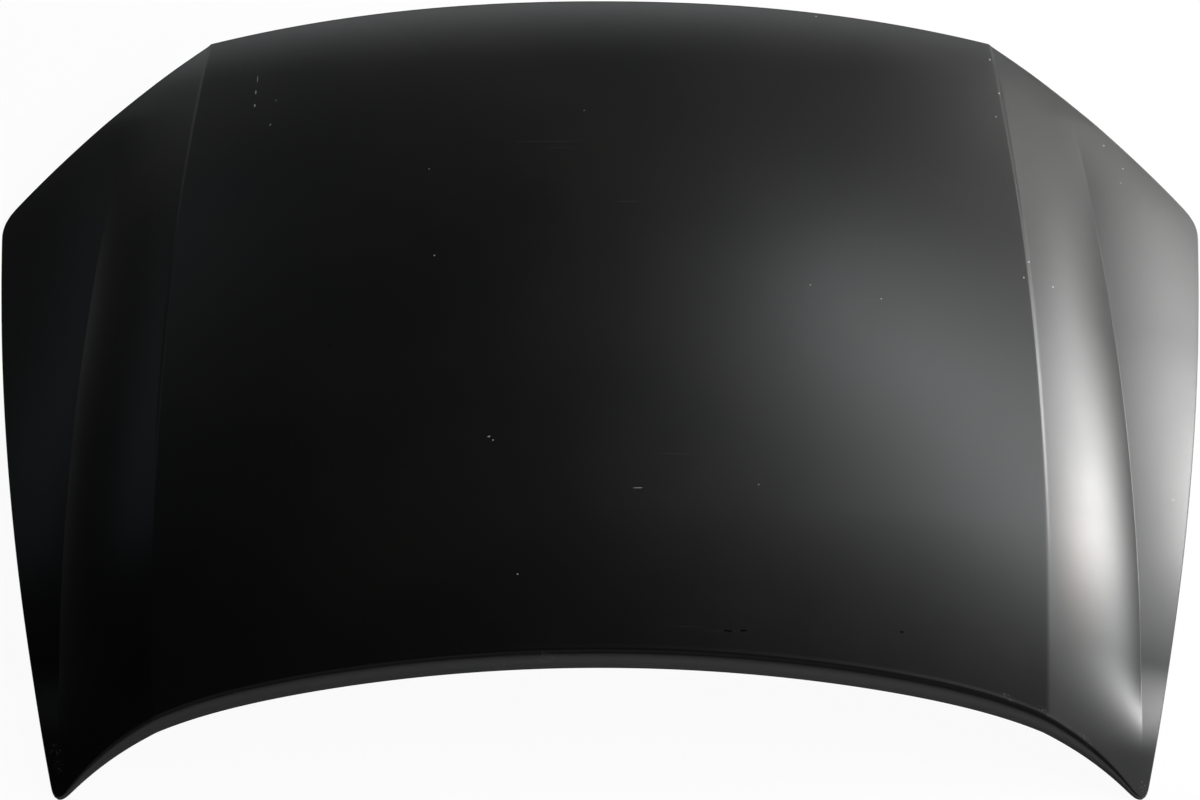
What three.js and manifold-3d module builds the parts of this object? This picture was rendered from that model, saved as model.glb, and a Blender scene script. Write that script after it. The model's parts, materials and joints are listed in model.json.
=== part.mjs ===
// Car bonnet: a pressed outer skin hemmed round a pressed inner frame, with its reinforcements.
// Millimetres. X runs across the car, Y from the nose to the windscreen, Z up.
import * as THREE from 'three';
import { mergeVertices } from 'three/addons/utils/BufferGeometryUtils.js';
import Module from 'manifold-3d';

const wasm = await Module();
wasm.setup();

// Plan of the outer skin, right half; the left half mirrors it
const PANEL_WIDTH = 1528;
const PANEL_LENGTH = 998.3;
const REAR_CENTRE_Y = 565;
const FRONT_CENTRE_Y = REAR_CENTRE_Y - PANEL_LENGTH;
const REAR_CORNER_X = PANEL_WIDTH * 0.3312;
const REAR_CORNER_Y = 518;
const REAR_BOW_POWER = 2.4;
const SIDE_CORNER_X = PANEL_WIDTH / 2;
const SIDE_CORNER_Y = 266;
const DIAGONAL_BOW = 6.5;
const TIP_X = PANEL_WIDTH * 0.42;
const SIDE_BOW = 17.8;
const FRONT_SWEEP = 63.4;
const TIP_CURL = 76.3;
const TIP_CURL_POWER = 9;
const CORNER_REACH = 24;

// Crease and shoulder line, each a bowed line from front to rear
const CREASE_FRONT_X = PANEL_WIDTH * 0.3446;
const CREASE_FRONT_Y = -490;
const CREASE_BOW = 17;
const LINE_FRONT_X = PANEL_WIDTH * 0.4175;
const LINE_FRONT_Y = -560;
const LINE_REAR_X = PANEL_WIDTH * 0.3946;
const LINE_REAR_Y = 440;
const LINE_BOW = 24;

// Heights along the centre line
const TOP_Z = 170;
const TOP_Y = -83;
const LENGTH_RADIUS = 2500;
const NOSE_Y = -250;
const NOSE_RADIUS = 1500;
const COWL_Y = 440;
const COWL_RADIUS = 900;

// Slopes across the panel, as rise over run
const CROWN_SLOPE = 0.187;
const PLAIN_SLOPE = 0.34;
const SHOULDER_FOOT_SLOPE = 0.78;
const OUTER_SLOPE = 0.28;
const EDGE_SLOPE = 0.44;
const OUTER_WIDTH = 110;
const SHOULDER_POWER = 1.5;
const CREASE_RADIUS = 6;
const LINE_RADIUS = 5;

// The shoulder step fades out towards both ends
const STEP_REAR_START = 430;
const STEP_REAR_FULL = 60;
const STEP_FRONT_START = -520;
const STEP_FRONT_FULL = -400;

// Sheet metal, hem and front lip
const GAP = 0.3;
const SKIN_THICKNESS = 0.8;
const FRAME_THICKNESS = 0.7;
const HEM_ROOM = 1.1;
const HEM_SEAT_GAP = 0.4;
const HEM_DROP = SKIN_THICKNESS * 2 + FRAME_THICKNESS + HEM_SEAT_GAP + HEM_ROOM;
const HEM_BULGE = 1;
const HEM_RETURN = 9;
const LIP_DROP = 30;
const LIP_REACH = 13;
const LIP_ROUND_OUT = 0.47;
const LIP_ROUND_DOWN = 0.19;

// Least cosine used where a sheet's corner is mitred, and the distance at which points merge
const MIN_SQUARENESS = 0.6;
const MERGE_DISTANCE = 0.001;

// Inner frame: a flange in the hem, ribs away from the skin, and lightening holes
const FRAME_EDGE_INSET = 3;
const FRAME_FLANGE = 12;
const FRAME_INSET = 34;
const RIB_DEPTH = 25;
const RIM_DEPTH = 9;
const BAY_COLUMNS = 5;
const BAY_ROWS = 4;
const BAY_CELLS = 3;
const BAY_MARGIN = 0.085;
const HOLE_WIDTH = 140;
const HOLE_LENGTH = 132;
const HOLE_ROUNDNESS = 4;
const HOLE_FLANGE = 12;
const RIB_WALL = 8;
const FLANGE_STANDOFF = 4;

// Hinge pads, latch pad and what is fixed to them
const PAD_DEPTH = 28;
const HINGE_PAD_WIDTH = 76;
const HINGE_PAD_LENGTH = 112;
const HINGE_PAD_SHIFT = 24;
const LATCH_PAD_WIDTH = 130;
const LATCH_PAD_LENGTH = 66;
const LATCH_PAD_SHIFT = -52;
const PLATE_INSET = 8;
const HINGE_PLATE_THICKNESS = 2.5;
const LATCH_PLATE_THICKNESS = 2;
const STRIKER_PLATE_WIDTH = 84;
const STRIKER_PLATE_LENGTH = 40;
const STRIKER_PLATE_THICKNESS = 2.5;
const PLATE_CORNER = 8;
const BOLT_SPACING = 56;
const BOLT_HOLE_RADIUS = 4.5;
const THREAD_DEPTH = 0.5;
const NUT_RADIUS = 7.5;
const NUT_HEIGHT = 6.5;
const STRIKER_WIRE_RADIUS = 4;
const STRIKER_HOLE_RADIUS = 4.6;
const STRIKER_HALF_WIDTH = 20;
const STRIKER_DROP = 42;
const BEAD_WIDTH = 34;
const BEAD_LENGTH = 10;
const BEAD_ROOM = 0.7;

// Mesh stations
const SIDE_SHARES = [1 / 3, 2 / 3, 1];
const OUTER_SHARES = [0.3, 0.6, 0.87, 1];
const END_ROWS = [0, 0.012, 0.03, 0.055];
const ROUND_SIDES = 16;
const WIRE_SIDES = 12;
const WIRE_BEND_STEPS = 8;
const HALVINGS = 30;
const END_STEP = 0.02;

const clamp01 = (v) => Math.min(1, Math.max(0, v));
const mix = (from, to, t) => from + (to - from) * t;
const fade = (start, full, v) => {
  const t = clamp01((v - start) / (full - start));
  return t * t * (3 - 2 * t);
};
const bow = (t) => 4 * t * (1 - t);

// A slope change rounded over a radius: 0 before the line, v after it
function hinge(v, radius) {
  if (v <= -radius) return 0;
  if (v >= radius) return v;
  return ((v + radius) * (v + radius)) / (4 * radius);
}

function creaseX(y) {
  const t = (y - CREASE_FRONT_Y) / (REAR_CORNER_Y - CREASE_FRONT_Y);
  return mix(CREASE_FRONT_X, REAR_CORNER_X, t) + CREASE_BOW * bow(t);
}

function lineX(y) {
  const t = (y - LINE_FRONT_Y) / (LINE_REAR_Y - LINE_FRONT_Y);
  return mix(LINE_FRONT_X, LINE_REAR_X, t) + LINE_BOW * bow(t);
}

function centreZ(y) {
  const nose = Math.max(0, NOSE_Y - y);
  const cowl = Math.max(0, y - COWL_Y);
  const arch = (y - TOP_Y) ** 2 / (2 * LENGTH_RADIUS);
  return TOP_Z - arch - nose ** 2 / (2 * NOSE_RADIUS) - cowl ** 2 / (2 * COWL_RADIUS);
}

// Height of the outer face: a crowned centre, a steepening shoulder, then a flatter outer zone
function skinZ(x, y) {
  const across = Math.abs(x);
  const crease = creaseX(y);
  const line = lineX(y);
  const step = fade(STEP_REAR_START, STEP_REAR_FULL, y) * fade(STEP_FRONT_START, STEP_FRONT_FULL, y);
  const foot = mix(PLAIN_SLOPE, SHOULDER_FOOT_SLOPE, step);
  const outer = mix(PLAIN_SLOPE, OUTER_SLOPE, step);
  const past = Math.max(0, across - crease);
  const inside = Math.min(across, crease);
  const width = line - crease;
  const growing = Math.min(past, width);
  const beyond = Math.max(0, across - line);
  let drop = (CROWN_SLOPE * inside * inside) / (2 * crease) + CROWN_SLOPE * past;
  drop += (PLAIN_SLOPE - CROWN_SLOPE) * hinge(across - crease, CREASE_RADIUS);
  drop += (foot - PLAIN_SLOPE) * growing * (growing / width) ** SHOULDER_POWER / (SHOULDER_POWER + 1);
  drop += (foot - PLAIN_SLOPE) * beyond;
  drop += (outer - foot) * hinge(across - line, LINE_RADIUS);
  drop += ((EDGE_SLOPE - outer) * beyond * beyond) / (2 * OUTER_WIDTH);
  return centreZ(y) - drop;
}

// Upward normal of the outer face, not yet of unit length: its Z is 1
function skinNormal(x, y) {
  const slopeX = (skinZ(x + 1, y) - skinZ(x - 1, y)) / 2;
  const slopeY = (skinZ(x, y + 1) - skinZ(x, y - 1)) / 2;
  return new THREE.Vector3(-slopeX, -slopeY, 1);
}

// A frame lying on the skin's slope at a point: X across the car, Z square to the sheet
function slopedFrame(point) {
  const up = skinNormal(point.x, point.y);
  const across = new THREE.Vector3(1, 0, -up.x).normalize();
  up.normalize();
  return new THREE.Matrix4().makeBasis(across, up.clone().cross(across), up).setPosition(point);
}

const rearY = (x) =>
  REAR_CENTRE_Y - (REAR_CENTRE_Y - REAR_CORNER_Y) * Math.abs(x / REAR_CORNER_X) ** REAR_BOW_POWER;

function frontY(x) {
  const u = Math.abs(x) / TIP_X;
  return FRONT_CENTRE_Y - FRONT_SWEEP * u * u - TIP_CURL * u ** TIP_CURL_POWER;
}

const REAR_CORNER = new THREE.Vector2(REAR_CORNER_X, REAR_CORNER_Y);
const SIDE_CORNER = new THREE.Vector2(SIDE_CORNER_X, SIDE_CORNER_Y);
const TIP = new THREE.Vector2(TIP_X, frontY(TIP_X));
const CREASE_END_X = creaseX(frontY(CREASE_FRONT_X));

// A point on the straight line between two corners, bowed outwards
function bowedPoint(from, to, height, t) {
  const chord = to.clone().sub(from);
  const outward = new THREE.Vector2(chord.y, -chord.x).normalize();
  return from.clone().addScaledVector(chord, t).addScaledVector(outward, height * bow(t));
}

// Rounds a sharp corner of the outline with a short parabola
function softened(point, corner, back, onward) {
  const distance = point.distanceTo(corner);
  if (distance >= CORNER_REACH) return point;
  const t = (1 - distance / CORNER_REACH) / 2;
  const start = corner.clone().addScaledVector(back, CORNER_REACH * (1 - t) ** 2);
  return start.addScaledVector(onward, CORNER_REACH * t ** 2);
}

const toward = (from, to) => to.clone().sub(from).normalize();
const sideFromTip = toward(TIP, bowedPoint(TIP, SIDE_CORNER, SIDE_BOW, END_STEP));
const sideFromCorner = toward(SIDE_CORNER, bowedPoint(TIP, SIDE_CORNER, SIDE_BOW, 1 - END_STEP));
const diagonalNear = bowedPoint(SIDE_CORNER, REAR_CORNER, DIAGONAL_BOW, END_STEP * 2);
const diagonalFromCorner = toward(SIDE_CORNER, diagonalNear);
const frontNear = TIP_X * (1 - END_STEP);
const frontFromTip = toward(TIP, new THREE.Vector2(frontNear, frontY(frontNear)));

function frontEdge(s) {
  const x = mix(CREASE_END_X, TIP_X, s);
  return softened(new THREE.Vector2(x, frontY(x)), TIP, frontFromTip, sideFromTip);
}

function sideEdge(b) {
  const point = bowedPoint(TIP, SIDE_CORNER, SIDE_BOW, b);
  const nearTip = softened(point, TIP, sideFromTip, frontFromTip);
  return softened(nearTip, SIDE_CORNER, sideFromCorner, diagonalFromCorner);
}

function diagonalEdge(s) {
  const point = bowedPoint(SIDE_CORNER, REAR_CORNER, DIAGONAL_BOW, 1 - s);
  return softened(point, SIDE_CORNER, diagonalFromCorner, sideFromCorner);
}

function creasePoint(b) {
  const y = mix(frontY(CREASE_END_X), REAR_CORNER_Y, b);
  return new THREE.Vector2(b === 1 ? REAR_CORNER_X : creaseX(y), y);
}

// Plan point between the creases; a runs from -1 to 1 across, b from 0 to 1 along
function centrePlan(a, b) {
  const crease = creasePoint(b);
  const front = frontY(a * CREASE_END_X) - frontY(CREASE_END_X);
  const rear = rearY(a * REAR_CORNER_X) - REAR_CORNER_Y;
  return new THREE.Vector2(a * crease.x, crease.y + front * (1 - b) + rear * b);
}

// Plan point outside the right crease; s runs from the crease to the edge
function sidePlan(s, b) {
  const point = frontEdge(s).multiplyScalar(1 - b).addScaledVector(diagonalEdge(s), b);
  point.addScaledVector(creasePoint(b), 1 - s).addScaledVector(sideEdge(b), s);
  point.addScaledVector(frontEdge(0), -(1 - s) * (1 - b)).addScaledVector(frontEdge(1), -s * (1 - b));
  return point.addScaledVector(diagonalEdge(0), -(1 - s) * b).addScaledVector(diagonalEdge(1), -s * b);
}

// Plan point anywhere: c is within 1 of the middle between the creases and reaches 2 at the edges
function planPoint(c, b) {
  if (Math.abs(c) <= 1) return centrePlan(c, b);
  const point = sidePlan(Math.abs(c) - 1, b);
  return new THREE.Vector2(Math.sign(c) * point.x, point.y);
}

// Share of the side patch that lies inside the shoulder line, found by halving
function lineShare(b) {
  let low = 0;
  let high = 1;
  for (let i = 0; i < HALVINGS; i += 1) {
    const middle = (low + high) / 2;
    const point = sidePlan(middle, b);
    if (point.x < lineX(point.y)) low = middle;
    else high = middle;
  }
  return low;
}

// Stations across and along, shared by the skin and the frame so that their hem facets agree
const centreStations = [];
for (let i = 0; i <= BAY_COLUMNS * BAY_CELLS; i += 1) {
  centreStations.push((2 * i) / (BAY_COLUMNS * BAY_CELLS) - 1);
}
const bayRows = [];
for (let j = 0; j <= BAY_ROWS * BAY_CELLS; j += 1) {
  bayRows.push(mix(BAY_MARGIN, 1 - BAY_MARGIN, j / (BAY_ROWS * BAY_CELLS)));
}
const skinRows = [...END_ROWS, ...bayRows, ...END_ROWS.map((v) => 1 - v).reverse()];
const SIDE_COLUMNS = SIDE_SHARES.length + OUTER_SHARES.length;
const COLUMNS = centreStations.length + 2 * SIDE_COLUMNS;

function skinShares(b) {
  const line = lineShare(b);
  return [...SIDE_SHARES.map((v) => v * line), ...OUTER_SHARES.map((v) => mix(line, 1, v))];
}

function frameShares(b) {
  const width = sideEdge(b).distanceTo(creasePoint(b));
  const reach = 1 - FRAME_INSET / width;
  return Array.from({ length: SIDE_COLUMNS }, (_, k) => (reach * (k + 1)) / SIDE_COLUMNS);
}

function columnsOf(shares) {
  const right = shares.map((s) => 1 + s);
  return [...right.map((c) => -c).reverse(), ...centreStations, ...right];
}

const frameStart = FRAME_INSET / PANEL_LENGTH;
const frameEnds = END_ROWS.map((_, k) => mix(frameStart, BAY_MARGIN, k / END_ROWS.length));
const frameRows = [...frameEnds, ...bayRows, ...frameEnds.map((v) => 1 - v).reverse()];

const onSkin = (plan, below) => new THREE.Vector3(plan.x, plan.y, skinZ(plan.x, plan.y) - below);

function gridOf(rows, sharesAt, belowAt) {
  return rows.map((b) => columnsOf(sharesAt(b)).map((c) => onSkin(planPoint(c, b), belowAt(c))));
}

// The outline of a grid as one anticlockwise loop, seen from above
function loopOf(grid) {
  const last = grid.length - 1;
  const front = grid[0];
  const right = grid.slice(1, last).map((row) => row[COLUMNS - 1]);
  const rear = [...grid[last]].reverse();
  const left = grid.slice(1, last).map((row) => row[0]).reverse();
  return [...front, ...right, ...rear, ...left];
}

// A sheet is a list of triangles, each of three points. Left and right halves split their
// facets alike, and turned swaps the diagonal, so that sheets lying on each other agree.
function quad(a, b, c, d, turned = false) {
  const isLeft = a.x + b.x + c.x + d.x < 0;
  return isLeft !== turned ? [[a, b, d], [b, c, d]] : [[a, b, c], [a, c, d]];
}

function band(inner, outer, turned = false) {
  const triangles = [];
  inner.forEach((point, k) => {
    const next = (k + 1) % inner.length;
    triangles.push(...quad(point, outer[k], outer[next], inner[next], turned));
  });
  return triangles;
}

function gridTriangles(grid, keep = () => true) {
  const triangles = [];
  for (let j = 0; j < grid.length - 1; j += 1) {
    for (let i = 0; i < COLUMNS - 1; i += 1) {
      const [near, far] = [grid[j], grid[j + 1]];
      if (keep(i, j)) triangles.push(...quad(near[i], near[i + 1], far[i + 1], far[i]));
    }
  }
  return triangles;
}

// Turns a sheet of triangles into a closed shell, thickened away from its outer face
function pressed(triangles, thickness) {
  const flat = triangles.flatMap((t) => t.flatMap((p) => [p.x, p.y, p.z]));
  const soup = new THREE.BufferGeometry();
  soup.setAttribute('position', new THREE.Float32BufferAttribute(flat, 3));
  const merged = mergeVertices(soup, MERGE_DISTANCE);
  const position = merged.getAttribute('position');
  const index = Array.from(merged.index.array);
  const pointAt = (_, k) => new THREE.Vector3().fromBufferAttribute(position, k);
  const points = Array.from({ length: position.count }, pointAt);
  const normals = points.map(() => []);
  const faces = [];
  for (let k = 0; k < index.length; k += 3) {
    const face = index.slice(k, k + 3);
    const [a, b, c] = face.map((v) => points[v]);
    const normal = b.clone().sub(a).cross(c.clone().sub(a)).normalize();
    faces.push(face);
    face.forEach((v) => normals[v].push(normal));
  }
  const inner = points.map((point, v) => {
    const normal = normals[v].reduce((sum, n) => sum.add(n), new THREE.Vector3()).normalize();
    const lean = normals[v].reduce((sum, n) => sum + n.dot(normal), 0) / normals[v].length;
    return point.clone().addScaledVector(normal, -thickness / Math.max(lean, MIN_SQUARENESS));
  });
  const edges = new Set(faces.flatMap(([a, b, c]) => [`${a}_${b}`, `${b}_${c}`, `${c}_${a}`]));
  const count = points.length;
  const shell = faces.flatMap(([a, b, c]) => [a, b, c, c + count, b + count, a + count]);
  edges.forEach((edge) => {
    const [a, b] = edge.split('_').map(Number);
    if (!edges.has(`${b}_${a}`)) shell.push(b, a, a + count, b, a + count, b + count);
  });
  const geometry = new THREE.BufferGeometry();
  const all = [...points, ...inner].flatMap((p) => [p.x, p.y, p.z]);
  geometry.setAttribute('position', new THREE.Float32BufferAttribute(all, 3));
  geometry.setIndex(shell);
  return geometry;
}

// Inner frame grid: full depth between the creases, shallower towards the sides
const frameDepth = (c) => mix(RIB_DEPTH, RIM_DEPTH, clamp01(Math.abs(c) - 1));
const frameGrid = gridOf(frameRows, frameShares, frameDepth);
const frameLoop = loopOf(frameGrid);

// The rolled lip and hem round the whole outline
const skinGrid = gridOf(skinRows, skinShares, () => 0);
const crest = loopOf(skinGrid);

// Share of the full lip at a station: all of it in the middle of the front, none at tips and sides
const lipShareAt = (k) =>
  k >= COLUMNS ? 0 : 1 - clamp01(Math.abs(crest[k].x) / TIP_X) ** TIP_CURL_POWER;

const outline = crest.map((point, k) => {
  const next = crest[(k + 1) % crest.length];
  const previous = crest[(k + crest.length - 1) % crest.length];
  const outward = new THREE.Vector3(next.y - previous.y, previous.x - next.x, 0).normalize();
  const lipShare = lipShareAt(k);
  const drop = mix(HEM_DROP * skinNormal(point.x, point.y).length(), LIP_DROP, lipShare);
  const inward = frameLoop[k].clone().sub(point).setZ(0).normalize();
  inward.divideScalar(Math.max(MIN_SQUARENESS, -inward.dot(outward)));
  return { point, outward, inward, drop, lipShare, reach: mix(HEM_BULGE, LIP_REACH, lipShare) };
});

const offsetFrom = (station, out, down) =>
  station.point.clone().addScaledVector(station.outward, out).add(new THREE.Vector3(0, 0, -down));

// A point inset from the foot of the lip and lifted off it. At the sides and rear it follows
// the skin's slope; under the lip it runs level.
function insetFrom(station, inset, lift) {
  const foot = offsetFrom(station, station.reach, station.drop);
  const point = foot.clone().addScaledVector(station.inward, inset);
  const rise = (skinZ(point.x, point.y) - skinZ(foot.x, foot.y)) * (1 - station.lipShare);
  return point.setZ(foot.z + rise + lift * skinNormal(point.x, point.y).length());
}

const lipRound = outline.map((e) => offsetFrom(e, e.reach * LIP_ROUND_OUT, e.drop * LIP_ROUND_DOWN));
const lipFoot = outline.map((e) => insetFrom(e, 0, 0));
const hemReturn = outline.map((e) => insetFrom(e, HEM_RETURN, 0));

const skinSheet = [
  ...gridTriangles(skinGrid),
  ...band(crest, lipRound),
  ...band(lipRound, lipFoot),
  ...band(lipFoot, hemReturn),
];

// The frame's flange lies on the hem's return
const flangeLift = SKIN_THICKNESS + HEM_SEAT_GAP + FRAME_THICKNESS;
const flangeEdge = outline.map((e) => insetFrom(e, FRAME_EDGE_INSET, flangeLift));
const flangeRoot = outline.map((e) => insetFrom(e, FRAME_FLANGE, flangeLift));

const BAY_FIRST_COLUMN = SIDE_COLUMNS;
const BAY_FIRST_ROW = END_ROWS.length;
const inBays = (i, j) =>
  i >= BAY_FIRST_COLUMN && i < BAY_FIRST_COLUMN + BAY_COLUMNS * BAY_CELLS &&
  j >= BAY_FIRST_ROW && j < BAY_FIRST_ROW + BAY_ROWS * BAY_CELLS;

const BAY_HALF_WIDTH = creaseX(0) / BAY_COLUMNS;
const BAY_HALF_LENGTH = (PANEL_LENGTH * (1 - 2 * BAY_MARGIN)) / BAY_ROWS / 2;
const bayMiddle = (column, row) => ({
  a: (2 * column + 1) / BAY_COLUMNS - 1,
  b: mix(BAY_MARGIN, 1 - BAY_MARGIN, (row + 0.5) / BAY_ROWS),
});

// Plan point in a bay, p and q in millimetres from its middle
function bayPlan(middle, p, q) {
  const a = middle.a + p / (BAY_HALF_WIDTH * BAY_COLUMNS);
  const b = middle.b + (q / (BAY_HALF_LENGTH * BAY_ROWS)) * ((1 - 2 * BAY_MARGIN) / 2);
  return centrePlan(a, b);
}

// Directions round a bay's edge, as points of the square from -1 to 1, anticlockwise
const bayRound = [];
for (let side = 0; side < 4; side += 1) {
  for (let k = 0; k < BAY_CELLS; k += 1) {
    const along = (2 * k) / BAY_CELLS - 1;
    bayRound.push([[along, -1], [1, along], [-along, 1], [-1, -along]][side]);
  }
}

// A rounded rectangle with one point for each point of the bay's edge
function roundedLoop(middle, halfWidth, halfLength, below) {
  return bayRound.map(([p, q]) => {
    const n = HOLE_ROUNDNESS;
    const size = (Math.abs(p) ** n + Math.abs(q) ** n) ** (1 / n);
    return onSkin(bayPlan(middle, (p / size) * halfWidth, (q / size) * halfLength), below);
  });
}

const bayEdge = (middle) =>
  bayRound.map(([p, q]) => onSkin(bayPlan(middle, p * BAY_HALF_WIDTH, q * BAY_HALF_LENGTH), RIB_DEPTH));

function holeBay(middle) {
  const half = [HOLE_WIDTH / 2, HOLE_LENGTH / 2];
  const near = SKIN_THICKNESS + FLANGE_STANDOFF;
  const loop = (grow, below) => roundedLoop(middle, half[0] + grow, half[1] + grow, below);
  const foot = loop(HOLE_FLANGE + RIB_WALL, RIB_DEPTH);
  const top = loop(HOLE_FLANGE, near);
  return [...band(foot, bayEdge(middle)), ...band(top, foot), ...band(loop(0, near), top)];
}

// A flat pad's own frame: its middle lies PAD_DEPTH under the skin, and it is parallel to the skin
function padFrame(middle, pad) {
  return slopedFrame(onSkin(bayPlan(middle, 0, pad.shift), PAD_DEPTH));
}

function padBay(middle, pad) {
  const frame = padFrame(middle, pad);
  const loop = bayRound.map(([p, q]) => {
    const n = HOLE_ROUNDNESS;
    const size = (Math.abs(p) ** n + Math.abs(q) ** n) ** (1 / n) * 2;
    return new THREE.Vector3((p / size) * pad.width, (q / size) * pad.length, 0).applyMatrix4(frame);
  });
  const centre = new THREE.Vector3().setFromMatrixPosition(frame);
  const lid = loop.map((point, k) => [centre, point, loop[(k + 1) % loop.length]]);
  return [...band(loop, bayEdge(middle)), ...lid];
}

const HINGE_PAD = { width: HINGE_PAD_WIDTH, length: HINGE_PAD_LENGTH, shift: HINGE_PAD_SHIFT };
const LATCH_PAD = { width: LATCH_PAD_WIDTH, length: LATCH_PAD_LENGTH, shift: LATCH_PAD_SHIFT };
const LATCH_BAY = bayMiddle((BAY_COLUMNS - 1) / 2, 0);
const HINGE_BAYS = { left: bayMiddle(0, BAY_ROWS - 1), right: bayMiddle(BAY_COLUMNS - 1, BAY_ROWS - 1) };
const padAt = (middle) => {
  const isHinge = Object.values(HINGE_BAYS).some((bay) => bay.a === middle.a && bay.b === middle.b);
  if (isHinge) return HINGE_PAD;
  return middle.a === LATCH_BAY.a && middle.b === LATCH_BAY.b ? LATCH_PAD : null;
};
const bays = [];
for (let row = 0; row < BAY_ROWS; row += 1) {
  for (let column = 0; column < BAY_COLUMNS; column += 1) bays.push(bayMiddle(column, row));
}

const frameSheet = [
  ...gridTriangles(frameGrid, (i, j) => !inBays(i, j)),
  ...band(frameLoop, flangeRoot),
  ...band(flangeRoot, flangeEdge, true),
  ...bays.flatMap((middle) => (padAt(middle) ? padBay(middle, padAt(middle)) : holeBay(middle))),
];

// Booleans on closed geometry
function toSolid(geometry) {
  const plain = geometry.clone();
  plain.deleteAttribute('normal');
  plain.deleteAttribute('uv');
  const merged = mergeVertices(plain, MERGE_DISTANCE);
  const vertProperties = Float32Array.from(merged.getAttribute('position').array);
  const triVerts = Uint32Array.from(merged.index.array);
  return new wasm.Manifold(new wasm.Mesh({ numProp: 3, vertProperties, triVerts }));
}

function toGeometry(solid) {
  const mesh = solid.getMesh();
  const geometry = new THREE.BufferGeometry();
  geometry.setAttribute('position', new THREE.BufferAttribute(Float32Array.from(mesh.vertProperties), 3));
  geometry.setIndex(Array.from(mesh.triVerts));
  return geometry;
}

const subtract = (geometry, cutters) =>
  toGeometry(cutters.reduce((solid, cutter) => solid.subtract(toSolid(cutter)), toSolid(geometry)));

const circle = (x, y, radius) => new THREE.Path().absarc(x, y, radius, 0, Math.PI * 2, false);

function extruded(shape, height) {
  const options = { depth: height, bevelEnabled: false, curveSegments: ROUND_SIDES / 2 };
  return new THREE.ExtrudeGeometry(shape, options);
}

// A flat plate with rounded corners; holes is a list of [x, y, radius]
function plate(width, length, thickness, holes = []) {
  const x = width / 2;
  const y = length / 2;
  const r = PLATE_CORNER;
  const shape = new THREE.Shape();
  shape.absarc(x - r, y - r, r, 0, Math.PI / 2, false);
  shape.absarc(r - x, y - r, r, Math.PI / 2, Math.PI, false);
  shape.absarc(r - x, r - y, r, Math.PI, Math.PI * 1.5, false);
  shape.absarc(x - r, r - y, r, Math.PI * 1.5, Math.PI * 2, false);
  holes.forEach(([hx, hy, radius]) => shape.holes.push(circle(hx, hy, radius)));
  return extruded(shape, thickness);
}

const hingeBolts = [-1, 1].map((side) => [0, (side * BOLT_SPACING) / 2]);

function boltCutters(bay) {
  const frame = padFrame(bay, HINGE_PAD);
  const depth = FRAME_THICKNESS * 4;
  return hingeBolts.map(([x, y]) => {
    const round = circle(x, y, BOLT_HOLE_RADIUS).getPoints(ROUND_SIDES);
    return extruded(new THREE.Shape(round), depth).translate(0, 0, -depth / 2).applyMatrix4(frame);
  });
}

function hexagon(radius) {
  const corners = Array.from({ length: 6 }, (_, k) => (k * Math.PI) / 3);
  return new THREE.Shape(corners.map((t) => new THREE.Vector2(radius * Math.cos(t), radius * Math.sin(t))));
}

function weldNut() {
  const shape = hexagon(NUT_RADIUS);
  shape.holes.push(circle(0, 0, BOLT_HOLE_RADIUS - THREAD_DEPTH));
  return extruded(shape, NUT_HEIGHT);
}

const strikerReach = STRIKER_HALF_WIDTH - STRIKER_WIRE_RADIUS;

// The striker: a round wire bent into a U, its legs pushed through the striker plate
function strikerWire() {
  const half = strikerReach;
  const legEnd = -(STRIKER_DROP - STRIKER_WIRE_RADIUS - half);
  const path = [new THREE.Vector3(-half, 0, STRIKER_PLATE_THICKNESS)];
  for (let k = 0; k <= WIRE_BEND_STEPS; k += 1) {
    const turn = (k * Math.PI) / WIRE_BEND_STEPS;
    path.push(new THREE.Vector3(-half * Math.cos(turn), 0, legEnd - half * Math.sin(turn)));
  }
  path.push(new THREE.Vector3(half, 0, STRIKER_PLATE_THICKNESS));
  const rings = path.map((point, k) => {
    const before = path[Math.max(0, k - 1)];
    const after = path[Math.min(path.length - 1, k + 1)];
    const along = after.clone().sub(before).normalize();
    const side = new THREE.Vector3(0, 1, 0);
    const out = along.clone().cross(side);
    return Array.from({ length: WIRE_SIDES }, (_, n) => {
      const turn = (2 * n * Math.PI) / WIRE_SIDES;
      const spot = point.clone().addScaledVector(out, STRIKER_WIRE_RADIUS * Math.cos(turn));
      return spot.addScaledVector(side, STRIKER_WIRE_RADIUS * Math.sin(turn));
    });
  });
  const triangles = rings.slice(1).flatMap((ring, k) => band(rings[k], ring));
  const cap = (ring) => ring.slice(2).map((point, k) => [ring[0], ring[k + 1], point]);
  const flat = [...triangles, ...cap(rings[0]), ...cap([...rings[rings.length - 1]].reverse())];
  const geometry = new THREE.BufferGeometry();
  const values = flat.flatMap((t) => t.flatMap((p) => [p.x, p.y, p.z]));
  geometry.setAttribute('position', new THREE.Float32BufferAttribute(values, 3));
  return mergeVertices(geometry, MERGE_DISTANCE);
}

// An anti-flutter bead: a dab of mastic between a hole's flange and the skin
function bead() {
  const shape = new THREE.Shape();
  shape.absellipse(0, 0, BEAD_WIDTH / 2, BEAD_LENGTH / 2, 0, Math.PI * 2, false);
  const depth = FLANGE_STANDOFF - GAP - BEAD_ROOM;
  return extruded(shape, depth);
}

// Materials
const eCoat = (name, roughness) =>
  new THREE.MeshStandardMaterial({ name, color: 0x0b0b0c, metalness: 0.1, roughness });
const skinCoat = eCoat('e_coat_outer', 0.4);
const frameCoat = eCoat('e_coat_inner', 0.55);
const wireCoat = eCoat('e_coat_striker', 0.45);
const sealant = { name: 'mastic', color: 0x3a3835, metalness: 0, roughness: 0.85 };
const mastic = new THREE.MeshStandardMaterial(sealant);

function named(name, geometry, material) {
  const mesh = new THREE.Mesh(geometry, material);
  mesh.name = name;
  return mesh;
}

const bonnet = new THREE.Group();
bonnet.add(named('outer_skin', pressed(skinSheet, SKIN_THICKNESS), skinCoat));

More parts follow.
